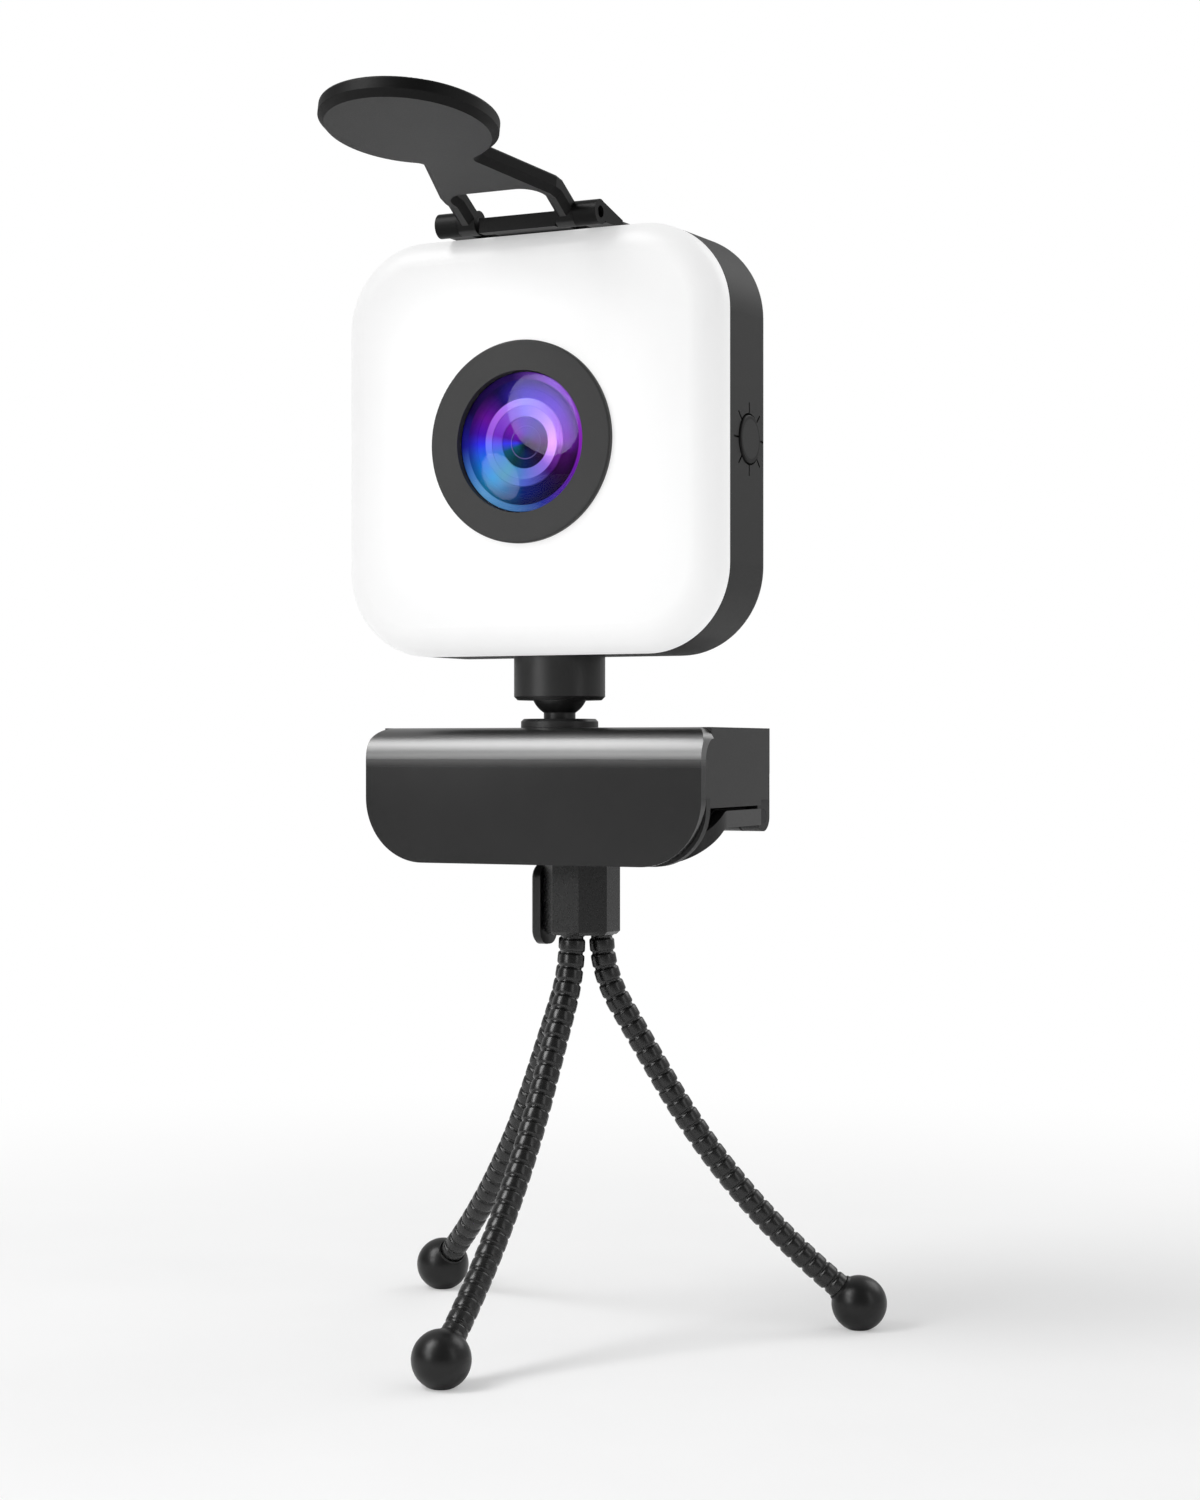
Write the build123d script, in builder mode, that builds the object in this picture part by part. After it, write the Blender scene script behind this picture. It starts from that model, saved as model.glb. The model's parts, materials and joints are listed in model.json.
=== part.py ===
from build123d import *
import os
from math import atan2, cos, radians, sin, tan

# A webcam with a square light panel and a flip-up lens cover, on a folding monitor clip,
# screwed to a small tripod with ribbed bendable legs. Millimetres, +Z up, front towards -Y,
# origin on the floor under the middle of the object.

# Clearances
FIT = 0.05  # pressed or glued pieces, on the radius or on each side
RUN = 0.04  # turning and sliding fits, on the radius
GAP = 0.3  # pieces that pass each other

# Tripod legs and feet
FOOT_R = 4.1
FOOT_FLAT = 0.3
STANCE_R = 41.0
LEG_R = 1.85
GROOVE_DEPTH = 0.28
RIB_PITCH = 2.2
RIB_RISE = 0.2
RIB_GROOVE = 0.3
BORE_R = 1.0
CORE_R = 0.85
LEG_ROOT_R = 2.9
LEG_SOCKET = 4.0
LEG_TOP_RUN = 5.5
BEND_OUT = 0.5063  # the second bend, as a share of the way out to the foot
BEND_UP = 0.3207  # and of the way up to the first bend
FOOT_RUN = 4.5
FOOT_GRIP = 3.1
BEND_RUN = 1.0
BEND_GAP = 0.95
LEG_TURNS = {"front": -90.0, "right": 30.0, "left": 150.0}

# Tripod hub, its lock and its stud
HUB_BOTTOM = 58.5
HUB_R = 5.2
HUB_SIDES = 8
HUB_H = 13.2
HUB_EDGE = 0.5
HUB_CAP_H = 2.0
CAP_SPIGOT = 1.5
HUB_PAD_T = 0.8
STUD_R = 3.175
STUD_THREAD = 5.6
STUD_FLANGE_R = 4.1
STUD_FLANGE_T = 1.6
STUD_EDGE = 0.3
JOURNAL_R = 3.0
JOURNAL_L = 4.0
LOCK_SCREW_R = 1.3
LEVER_T = 1.5
LEVER_W = 5.4
LEVER_DOWN = 9.7
LEVER_UP = 2.2
LEVER_EDGE = 0.3

# Monitor clip
CLIP_W = 54.0
CLIP_REAR_W = 46.0
CLIP_DEPTH = 34.0
BODY_H = 11.3
CLIP_WALL = 2.0
LIP_H = 19.5
LIP_CORNER = 9.4
LIP_T = 1.4
PANEL_T = 1.6
PANEL_BEND = 4.5
PANEL_CORNER = 2.5
REAR_STEP = 2.6
REAR_STEP_H = 5.0
BASE_T = 1.5
BASE_SCREW_R = 1.0
BASE_SCREW_HEAD_R = 1.8
BASE_SCREW_L = 5.0
POST_R = 2.4
LIP_PAD_T = 0.5
LIP_PAD_MARGIN = 4.0
NECK_TO_PANEL = 9.5
NECK_FORWARD = 7.0

# Clip jaw and its hinge
JAW_T = 2.4
JAW_SPLAY = 35.0
JAW_BEND_R = 2.0
JAW_CORNER = 7.0
JAW_RIM = 1.8
JAW_PAD_T = 0.9
JAW_PAD_PROUD = 0.2
BOSS_R = 5.6
BOSS_ROOM = 0.9  # round the boss, which swings as the clip opens
INSERT_R = 4.5
INSERT_L = 6.0
KNUCKLE_R = 2.2
JAW_PIN_R = 1.0
LUG_W = 3.0
WASHER_T = 0.3
AXIS_INSET = 3.6

# Ball neck
FLANGE_R = 5.6
FLANGE_H = 1.3
FLANGE_EDGE = 0.4
STEM_R = 2.3
SHANK_R = 2.5
BALL_R = 4.2
BALL_RISE = 1.7
LINER_T = 0.55
LINER_BELOW = 1.4
LINER_ABOVE = 2.6
NECK_GAP = 4.0
COLLAR_R = 6.6
COLLAR_H = 6.3
COLLAR_EDGE = 0.5
PLUG_R = 3.8
PLUG_H = 2.4
CLIP_RING_T = 0.8
CLIP_RING_W = 0.8
SWIVEL_WASHER_R = 4.0
SWIVEL_WASHER_T = 0.6
SWIVEL_SCREW_R = 1.25
SWIVEL_HEAD_R = 2.3
SWIVEL_HEAD_H = 1.5
SWIVEL_SCREW_L = 5.0

# Head
HEAD_W = 60.0
HEAD_H = 60.0
HEAD_CORNER = 12.5
DIFFUSER_D = 5.0
DIFFUSER_BAND = 1.0
DIFFUSER_WALL = 1.4
HOUSING_D = 13.0
HOUSING_EDGE = 2.0
HOUSING_WALL = 1.8
SEAM_EDGE = 0.3
TONGUE_T = 1.2
TONGUE_L = 1.5

# Lens
BEZEL_R = 14.35
BEZEL_PROUD = 0.8
BEZEL_EDGE = 0.3
BEZEL_TUBE_R = 12.8
LENS_R = 10.0
WINDOW_SINK = 1.2
WINDOW_T = 1.4
WINDOW_DOME = 1.2
BARREL_HEAD_R = 9.4
BARREL_HEAD_L = 3.3
BARREL_R = 6.0
BARREL_L = 9.0
ELEMENT_R = 5.0
ELEMENT_T = 1.6
ELEMENT_DOME = 0.9
BARREL_BORE_R = 3.4
BARREL_CUP_R = 7.2
REAR_ELEMENT_R = 4.7
HOLDER_W = 16.0
HOLDER_L = 5.5
HOLDER_CORNER = 1.8
SENSOR_W = 8.0
SENSOR_T = 1.0

# Boards and light chips
BOARD_T = 1.2
BOARD_SIDE = 4.0  # from the head's sides
BOARD_END = 11.0  # from the head's top and bottom
BOARD_POST_IN = 5.0  # from the board's sides
BOARD_POST_DOWN = 6.0  # from the board's ends
LIGHT_BOARD_T = 1.0
LIGHT_BOARD_HOLE = 0.6
CHIP_W = 2.8
CHIP_T = 0.8
CHIP_RING_IN = 10.0  # from the head's sides
CHIP_COUNT = 24
STANDOFF_R = 2.2
SCREW_R = 1.0
SCREW_HEAD_R = 1.9
SCREW_HEAD_H = 1.2
SCREW_BITE = 3.0
LIGHT_POST_IN = 9.5  # from the head's sides
LIGHT_POST_DOWN = 8.0  # from the head's top and bottom
MIC_R = 2.0
MIC_T = 1.1
MIC_PORT_R = 0.6
MIC_DROP = 10.0
GLAND_R = 3.0
GLAND_BORE_R = 1.8
GLAND_FLANGE_R = 4.0
GLAND_FLANGE_T = 1.0
GLAND_PROUD = 1.4
GLAND_UP = 9.0  # above the head's bottom

# Light button and the sun mark round it
BUTTON_R = 3.4
BUTTON_GAP = 0.25
BUTTON_PROUD = 0.25
BUTTON_FLANGE = 0.4
BUTTON_FLANGE_T = 0.9
BUTTON_TRAVEL = 0.4
SWITCH_W = 6.0
SWITCH_H = 3.4
SWITCH_L = 3.6
PLUNGER_R = 1.4
PLUNGER_L = 0.6
RAY_COUNT = 8
RAY_REACH = 5.15
RAY_W = 0.3
RAY_DEPTH = 0.3

# Lens cover and its bracket
COVER_RAISE = 11.0  # above level, as shown
COVER_T = 2.6
COVER_CHAMFER = 0.9
COVER_EDGE = 0.4
DISC_R = 12.0
ARM_HALF = 4.4
ARM_OVERLAP = 1.1  # of the arm and the disc
ARM_FILLET = 0.6
FORK_L = 6.8
FORK_SLOT_L = 8.4
SLOT_CORNER = 2.2
PRONG_IN = 6.4
PRONG_W = 2.8
PRONG_BEND = 5.0  # from the hinge's axis
PRONG_EDGE = 0.3
PRONG_ROOT_LOW = 1.2  # below the hinge's axis, at the knuckle
COVER_AXIS_UP = 1.3
COVER_AXIS_AHEAD = 0.6  # of the head's front
COVER_KNUCKLE_R = 1.75
COVER_PIN_R = 0.8
BRACKET_KNUCKLE_W = 3.6
BRACKET_D = 10.5
BRACKET_T = 1.2
BRACKET_EDGE = 0.4
BRACKET_BAR_TOP = 0.5  # above the hinge's axis
BRACKET_BAR_LOW = 1.6  # below it
BRACKET_BAR_HALF = 0.9
PIN_SINK = 0.7
PEG_R = 1.2
PEG_X = 7.0
GROOVE_R = 10.5
GROOVE_W = 0.4
MARK_DEPTH = 0.25
LINE_L = 11.0
LINE_Z = 3.2

# Heights, from the floor up
HUB_TOP = HUB_BOTTOM + HUB_H + HUB_CAP_H
JAW_BOTTOM = HUB_TOP + HUB_PAD_T
JAW_TOP = JAW_BOTTOM + JAW_T
BODY_BOTTOM = JAW_TOP + JAW_PAD_PROUD + GAP
CLIP_TOP = BODY_BOTTOM + BODY_H
LIP_BOTTOM = CLIP_TOP - LIP_H
JAW_AXIS_Z = JAW_BOTTOM + JAW_T / 2
COLLAR_BOTTOM = CLIP_TOP + NECK_GAP
BALL_Z = COLLAR_BOTTOM + BALL_RISE
HEAD_BOTTOM = COLLAR_BOTTOM + COLLAR_H
HEAD_Z = HEAD_BOTTOM + HEAD_H / 2
HEAD_TOP = HEAD_BOTTOM + HEAD_H
COVER_AXIS_Z = HEAD_TOP + COVER_AXIS_UP
FOOT_Z = FOOT_R - FOOT_FLAT

# The raised cover reaches as far forward of the middle as the rear feet reach behind it.
ARM_L = HEAD_H / 2 + COVER_AXIS_UP
ARM_MEET = ARM_L - DISC_R + ARM_OVERLAP
COVER_OFFSET = BEZEL_PROUD + GAP - COVER_AXIS_AHEAD
RAISE = radians(COVER_RAISE)
COVER_REACH = (ARM_L + DISC_R) * cos(RAISE) - (COVER_OFFSET + COVER_CHAMFER) * sin(RAISE)
FRONT_REACH = NECK_FORWARD + HOUSING_D / 2 + DIFFUSER_D + COVER_AXIS_AHEAD + COVER_REACH
REAR_REACH = STANCE_R * sin(radians(LEG_TURNS["right"])) + FOOT_R
HUB_Y = (FRONT_REACH - REAR_REACH) / 2

# Depths, from the tripod's axis
NECK_Y = HUB_Y - NECK_FORWARD
PANEL_Y = NECK_Y - NECK_TO_PANEL
LIP_BACK_Y = PANEL_Y + PANEL_T + LIP_T
CLIP_REAR_Y = PANEL_Y + CLIP_DEPTH
JAW_AXIS_Y = CLIP_REAR_Y - AXIS_INSET
SEAM_Y = NECK_Y - HOUSING_D / 2
FRONT_Y = SEAM_Y - DIFFUSER_D
COVER_AXIS_Y = FRONT_Y - COVER_AXIS_AHEAD

# Places across the head
BOARD_W = HEAD_W - 2 * BOARD_SIDE
BOARD_H = HEAD_H - 2 * BOARD_END
BOARD_POST_X = BOARD_W / 2 - BOARD_POST_IN
BOARD_POST_Z = BOARD_H / 2 - BOARD_POST_DOWN
LIGHT_POST_X = HEAD_W / 2 - LIGHT_POST_IN
LIGHT_POST_Z = HEAD_H / 2 - LIGHT_POST_DOWN
CHIP_RING_R = min(HEAD_W, HEAD_H) / 2 - CHIP_RING_IN
GLAND_DROP = HEAD_H / 2 - GLAND_UP

# Depths behind the light panel's front
HEAD_D = DIFFUSER_D + HOUSING_D
LIGHT_BOARD_DEPTH = DIFFUSER_D + TONGUE_L + FIT
BUTTON_DEPTH = DIFFUSER_D + HOUSING_D / 2
BOARD_DEPTH = BUTTON_DEPTH + SWITCH_H / 2
INNER_BACK = HEAD_D - HOUSING_WALL
HOLDER_DEPTH = BOARD_DEPTH - HOLDER_L
WINDOW_RIM = WINDOW_SINK - BEZEL_PROUD + FIT
WINDOW_BACK = WINDOW_RIM + WINDOW_T
BARREL_DEPTH = WINDOW_BACK + FIT
BARREL_SHOULDER = BARREL_DEPTH + BARREL_HEAD_L
BARREL_END = BARREL_DEPTH + BARREL_L

LENS = Plane(origin=(0, FRONT_Y, HEAD_Z), x_dir=(1, 0, 0), z_dir=(0, -1, 0))
LENS_PROFILE = Plane(origin=(0, FRONT_Y, HEAD_Z), x_dir=(0, 1, 0), z_dir=(1, 0, 0))
LENS_AXIS = Axis((0, FRONT_Y, HEAD_Z), (0, 1, 0))

os.makedirs("parts", exist_ok=True)


def depth(distance):
    """Plane parallel to the light panel, this far behind its front face."""
    return LENS.offset(-distance)


def level(y, z):
    """Level plane on the middle line, at this depth and height."""
    return Plane(origin=(0, y, z))


def save(piece, name):
    """Label a finished piece and write it under that name."""
    piece.part.label = name
    export_step(piece.part, f"parts/{name}.step")


# Front diffuser: the white lit pillow, with a tongue that plugs into the housing
with BuildPart() as front_diffuser:
    with BuildSketch(depth(DIFFUSER_D)):
        RectangleRounded(HEAD_W, HEAD_H, HEAD_CORNER)
    extrude(amount=DIFFUSER_D)
    fillet(front_diffuser.faces().sort_by(Axis.Y)[0].edges(), DIFFUSER_D - DIFFUSER_BAND)
    offset(amount=-DIFFUSER_WALL, openings=front_diffuser.faces().sort_by(Axis.Y)[-1])
    tongue_in = HOUSING_WALL + FIT + TONGUE_T
    with BuildSketch(depth(DIFFUSER_D)):
        RectangleRounded(HEAD_W - DIFFUSER_WALL, HEAD_H - DIFFUSER_WALL, HEAD_CORNER - DIFFUSER_WALL / 2)
        RectangleRounded(
            HEAD_W - 2 * tongue_in, HEAD_H - 2 * tongue_in, HEAD_CORNER - tongue_in, mode=Mode.SUBTRACT
        )
    extrude(amount=DIFFUSER_BAND)
    with BuildSketch(depth(DIFFUSER_D)):
        tongue_out = HOUSING_WALL + FIT
        RectangleRounded(HEAD_W - 2 * tongue_out, HEAD_H - 2 * tongue_out, HEAD_CORNER - tongue_out)
        RectangleRounded(
            HEAD_W - 2 * tongue_in, HEAD_H - 2 * tongue_in, HEAD_CORNER - tongue_in, mode=Mode.SUBTRACT
        )
    extrude(amount=-TONGUE_L)
    with BuildSketch(LENS):
        Circle(BEZEL_TUBE_R + FIT)
    extrude(amount=-DIFFUSER_D, mode=Mode.SUBTRACT)
save(front_diffuser, "front_diffuser")

# Rear housing: the dark box behind the seam, with posts for both boards
SIDE = Plane(origin=(HEAD_W / 2, FRONT_Y + BUTTON_DEPTH, HEAD_Z), x_dir=(0, 1, 0), z_dir=(1, 0, 0))
with BuildPart() as rear_housing:
    with BuildSketch(depth(DIFFUSER_D)):
        RectangleRounded(HEAD_W, HEAD_H, HEAD_CORNER)
    extrude(amount=-HOUSING_D)
    fillet(rear_housing.faces().sort_by(Axis.Y)[-1].edges(), HOUSING_EDGE)
    fillet(rear_housing.faces().sort_by(Axis.Y)[0].edges(), SEAM_EDGE)
    with BuildSketch(depth(DIFFUSER_D)):
        RectangleRounded(
            HEAD_W - 2 * HOUSING_WALL, HEAD_H - 2 * HOUSING_WALL, HEAD_CORNER - HOUSING_WALL
        )
    extrude(amount=-(HOUSING_D - HOUSING_WALL), mode=Mode.SUBTRACT)
    with BuildSketch(depth(INNER_BACK)):
        with GridLocations(2 * LIGHT_POST_X, 2 * LIGHT_POST_Z, 2, 2):
            Circle(STANDOFF_R)
    extrude(amount=INNER_BACK - LIGHT_BOARD_DEPTH - LIGHT_BOARD_T)
    with BuildSketch(depth(INNER_BACK)):
        with GridLocations(2 * BOARD_POST_X, 2 * BOARD_POST_Z, 2, 2):
            Circle(STANDOFF_R)
    extrude(amount=INNER_BACK - BOARD_DEPTH - BOARD_T)
    with BuildSketch(depth(LIGHT_BOARD_DEPTH + LIGHT_BOARD_T)):
        with GridLocations(2 * LIGHT_POST_X, 2 * LIGHT_POST_Z, 2, 2):
            Circle(SCREW_R + FIT)
    extrude(amount=-SCREW_BITE, mode=Mode.SUBTRACT)
    with BuildSketch(depth(BOARD_DEPTH + BOARD_T)):
        with GridLocations(2 * BOARD_POST_X, 2 * BOARD_POST_Z, 2, 2):
            Circle(SCREW_R + FIT)
    extrude(amount=-(INNER_BACK - BOARD_DEPTH - BOARD_T), mode=Mode.SUBTRACT)
    with BuildSketch(SIDE):
        Circle(BUTTON_R + BUTTON_GAP)
    extrude(amount=-HOUSING_WALL, mode=Mode.SUBTRACT)
    with BuildSketch(SIDE):
        with PolarLocations((BUTTON_R + RAY_REACH) / 2, RAY_COUNT):
            Rectangle(RAY_REACH - BUTTON_R, RAY_W)
    extrude(amount=-RAY_DEPTH, mode=Mode.SUBTRACT)
    with BuildSketch(level(NECK_Y, HEAD_BOTTOM)):
        Circle(PLUG_R + FIT)
    extrude(amount=HOUSING_WALL, mode=Mode.SUBTRACT)
    with BuildSketch(level(SEAM_Y + BRACKET_D / 2, HEAD_TOP)):
        with GridLocations(2 * PEG_X, 0, 2, 1):
            Circle(PEG_R + FIT)
    extrude(amount=-HOUSING_WALL, mode=Mode.SUBTRACT)
    with BuildSketch(depth(HEAD_D)):
        with Locations((0, -MIC_DROP)):
            Circle(MIC_PORT_R)
        with Locations((0, -GLAND_DROP)):
            Circle(GLAND_R + FIT)
    extrude(amount=HOUSING_WALL, mode=Mode.SUBTRACT)
save(rear_housing, "rear_housing")

# Lens bezel: the flat dark ring and the tube that carries the window
with BuildPart() as lens_bezel:
    with BuildSketch(LENS):
        Circle(BEZEL_R)
    extrude(amount=BEZEL_PROUD)
    fillet(lens_bezel.faces().sort_by(Axis.Y)[0].edges(), BEZEL_EDGE)
    with BuildSketch(LENS):
        Circle(BEZEL_TUBE_R)
    extrude(amount=-(LIGHT_BOARD_DEPTH - FIT))
    with BuildSketch(depth(-BEZEL_PROUD)):
        Circle(LENS_R + FIT)
    extrude(amount=-(BEZEL_PROUD + WINDOW_BACK), mode=Mode.SUBTRACT)
    with BuildSketch(depth(WINDOW_BACK)):
        Circle(BARREL_HEAD_R + FIT)
    extrude(amount=-LIGHT_BOARD_DEPTH, mode=Mode.SUBTRACT)
save(lens_bezel, "lens_bezel")

# Lens window: the domed outer glass
with BuildPart() as lens_window:
    with BuildSketch(LENS_PROFILE):
        with BuildLine():
            dome = TangentArc(
                (WINDOW_RIM - WINDOW_DOME, 0), (WINDOW_RIM, LENS_R), tangent=(0, 1)
            )
            Polyline(dome @ 1, (WINDOW_BACK, LENS_R), (WINDOW_BACK, 0), dome @ 0)
        make_face()
    revolve(axis=LENS_AXIS)
save(lens_window, "lens_window")

# Lens barrel: a stepped cup at the front and a threaded tail
with BuildPart() as lens_barrel:
    with BuildSketch(depth(BARREL_DEPTH)):
        Circle(BARREL_HEAD_R)
    extrude(amount=-BARREL_HEAD_L)
    with BuildSketch(depth(BARREL_SHOULDER)):
        Circle(BARREL_R)
    extrude(amount=-(BARREL_L - BARREL_HEAD_L))
    with BuildSketch(depth(BARREL_DEPTH)):
        Circle(BARREL_CUP_R)
    extrude(amount=-BARREL_HEAD_L / 2, mode=Mode.SUBTRACT)
    with BuildSketch(depth(BARREL_DEPTH)):
        Circle(ELEMENT_R + FIT)
    extrude(amount=-(BARREL_HEAD_L + ELEMENT_T), mode=Mode.SUBTRACT)
    with BuildSketch(depth(BARREL_DEPTH)):
        Circle(BARREL_BORE_R)
    extrude(amount=-BARREL_L, mode=Mode.SUBTRACT)
    with BuildSketch(depth(BARREL_END)):
        Circle(REAR_ELEMENT_R + FIT)
    extrude(amount=ELEMENT_T, mode=Mode.SUBTRACT)
save(lens_barrel, "lens_barrel")

# Front lens element: convex glass seated at the bottom of the cup
FRONT_ELEMENT_BACK = BARREL_SHOULDER + ELEMENT_T
with BuildPart() as front_element:
    with BuildSketch(LENS_PROFILE):
        with BuildLine():
            crown = TangentArc(
                (FRONT_ELEMENT_BACK - ELEMENT_T - ELEMENT_DOME, 0),
                (FRONT_ELEMENT_BACK - ELEMENT_T, ELEMENT_R),
                tangent=(0, 1),
            )
            Polyline(crown @ 1, (FRONT_ELEMENT_BACK, ELEMENT_R), (FRONT_ELEMENT_BACK, 0), crown @ 0)
        make_face()
    revolve(axis=LENS_AXIS)
save(front_element, "front_element")

# Rear lens element: flat glass in the barrel's tail
with BuildPart() as rear_element:
    with BuildSketch(depth(BARREL_END)):
        Circle(REAR_ELEMENT_R)
    extrude(amount=ELEMENT_T)
save(rear_element, "rear_element")

# Lens holder: a square block on the main board
with BuildPart() as lens_holder:
    with BuildSketch(depth(HOLDER_DEPTH)):
        RectangleRounded(HOLDER_W, HOLDER_W, HOLDER_CORNER)
    extrude(amount=-HOLDER_L)
    with BuildSketch(depth(HOLDER_DEPTH)):
        Circle(BARREL_R + FIT)
    extrude(amount=-HOLDER_L, mode=Mode.SUBTRACT)
save(lens_holder, "lens_holder")

# Image sensor
with BuildPart() as image_sensor:
    with BuildSketch(depth(BOARD_DEPTH)):
        Rectangle(SENSOR_W, SENSOR_W)
    extrude(amount=SENSOR_T)
save(image_sensor, "image_sensor")

# Main board
with BuildPart() as main_board:
    with BuildSketch(depth(BOARD_DEPTH)):
        RectangleRounded(BOARD_W, BOARD_H, STANDOFF_R)
        with GridLocations(2 * BOARD_POST_X, 2 * BOARD_POST_Z, 2, 2):
            Circle(SCREW_R + FIT, mode=Mode.SUBTRACT)
        with Locations((0, -MIC_DROP)):
            Circle(MIC_PORT_R, mode=Mode.SUBTRACT)
    extrude(amount=-BOARD_T)
save(main_board, "main_board")

# Microphone, behind its port in the back
with BuildPart() as microphone:
    with BuildSketch(depth(BOARD_DEPTH + BOARD_T)):
        with Locations((0, -MIC_DROP)):
            Circle(MIC_R)
    extrude(amount=-MIC_T)
save(microphone, "microphone")

# Light board: the plate that carries the light chips round the lens
light_inset = HOUSING_WALL + FIT + BUTTON_FLANGE_T + BUTTON_TRAVEL + GAP
with BuildPart() as light_board:
    with BuildSketch(depth(LIGHT_BOARD_DEPTH)):
        RectangleRounded(HEAD_W - 2 * light_inset, HEAD_H - 2 * light_inset, HEAD_CORNER - light_inset)
        Circle(BARREL_HEAD_R + LIGHT_BOARD_HOLE, mode=Mode.SUBTRACT)
        with GridLocations(2 * LIGHT_POST_X, 2 * LIGHT_POST_Z, 2, 2):
            Circle(SCREW_R + FIT, mode=Mode.SUBTRACT)
    extrude(amount=-LIGHT_BOARD_T)
save(light_board, "light_board")

# Light chips
with BuildPart() as light_chips:
    with BuildSketch(depth(LIGHT_BOARD_DEPTH)):
        with PolarLocations(CHIP_RING_R, CHIP_COUNT):
            Rectangle(CHIP_W, CHIP_W)
    extrude(amount=CHIP_T)
save(light_chips, "light_chips")

# Board screws
with BuildPart() as light_board_screws:
    with BuildSketch(depth(LIGHT_BOARD_DEPTH)):
        with GridLocations(2 * LIGHT_POST_X, 2 * LIGHT_POST_Z, 2, 2):
            Circle(SCREW_HEAD_R)
    extrude(amount=SCREW_HEAD_H)
    with BuildSketch(depth(LIGHT_BOARD_DEPTH)):
        with GridLocations(2 * LIGHT_POST_X, 2 * LIGHT_POST_Z, 2, 2):
            Circle(SCREW_R)
    extrude(amount=-(LIGHT_BOARD_T + SCREW_BITE - FIT))
save(light_board_screws, "light_board_screws")

with BuildPart() as main_board_screws:
    with BuildSketch(depth(BOARD_DEPTH)):
        with GridLocations(2 * BOARD_POST_X, 2 * BOARD_POST_Z, 2, 2):
            Circle(SCREW_HEAD_R)
    extrude(amount=SCREW_HEAD_H)
    with BuildSketch(depth(BOARD_DEPTH)):
        with GridLocations(2 * BOARD_POST_X, 2 * BOARD_POST_Z, 2, 2):
            Circle(SCREW_R)
    extrude(amount=-(INNER_BACK - BOARD_DEPTH - FIT))
save(main_board_screws, "main_board_screws")

# Cable entry: a bushing in the lower back, where the lead comes out
with BuildPart() as cable_entry:
    with BuildSketch(depth(INNER_BACK)):
        with Locations((0, -GLAND_DROP)):
            Circle(GLAND_R)
    extrude(amount=-(HOUSING_WALL + GLAND_PROUD))
    with BuildSketch(depth(INNER_BACK)):
        with Locations((0, -GLAND_DROP)):
            Circle(GLAND_FLANGE_R)
    extrude(amount=GLAND_FLANGE_T)
    with BuildSketch(depth(INNER_BACK - GLAND_FLANGE_T)):
        with Locations((0, -GLAND_DROP)):
            Circle(GLAND_BORE_R)
    extrude(amount=-(GLAND_FLANGE_T + HOUSING_WALL + GLAND_PROUD), mode=Mode.SUBTRACT)
save(cable_entry, "cable_entry")

# Light button and its switch
BUTTON_BACK = -(HOUSING_WALL + FIT + BUTTON_FLANGE_T)
with BuildPart() as light_button:
    with BuildSketch(SIDE.offset(BUTTON_BACK)):
        Circle(BUTTON_R)
    extrude(amount=BUTTON_PROUD - BUTTON_BACK)
    fillet(light_button.faces().sort_by(Axis.X)[-1].edges(), BUTTON_PROUD)
    with BuildSketch(SIDE.offset(BUTTON_BACK)):
        Circle(BUTTON_R + BUTTON_FLANGE)
    extrude(amount=BUTTON_FLANGE_T)
save(light_button, "light_button")

PLUNGER_TIP = BUTTON_BACK - BUTTON_TRAVEL - FIT
with BuildPart() as button_switch:
    with BuildSketch(SIDE.offset(PLUNGER_TIP - PLUNGER_L)):
        Rectangle(SWITCH_H, SWITCH_W)
    extrude(amount=-SWITCH_L)
    with BuildSketch(SIDE.offset(PLUNGER_TIP)):
        Circle(PLUNGER_R)
    extrude(amount=-PLUNGER_L)
save(button_switch, "button_switch")

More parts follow.
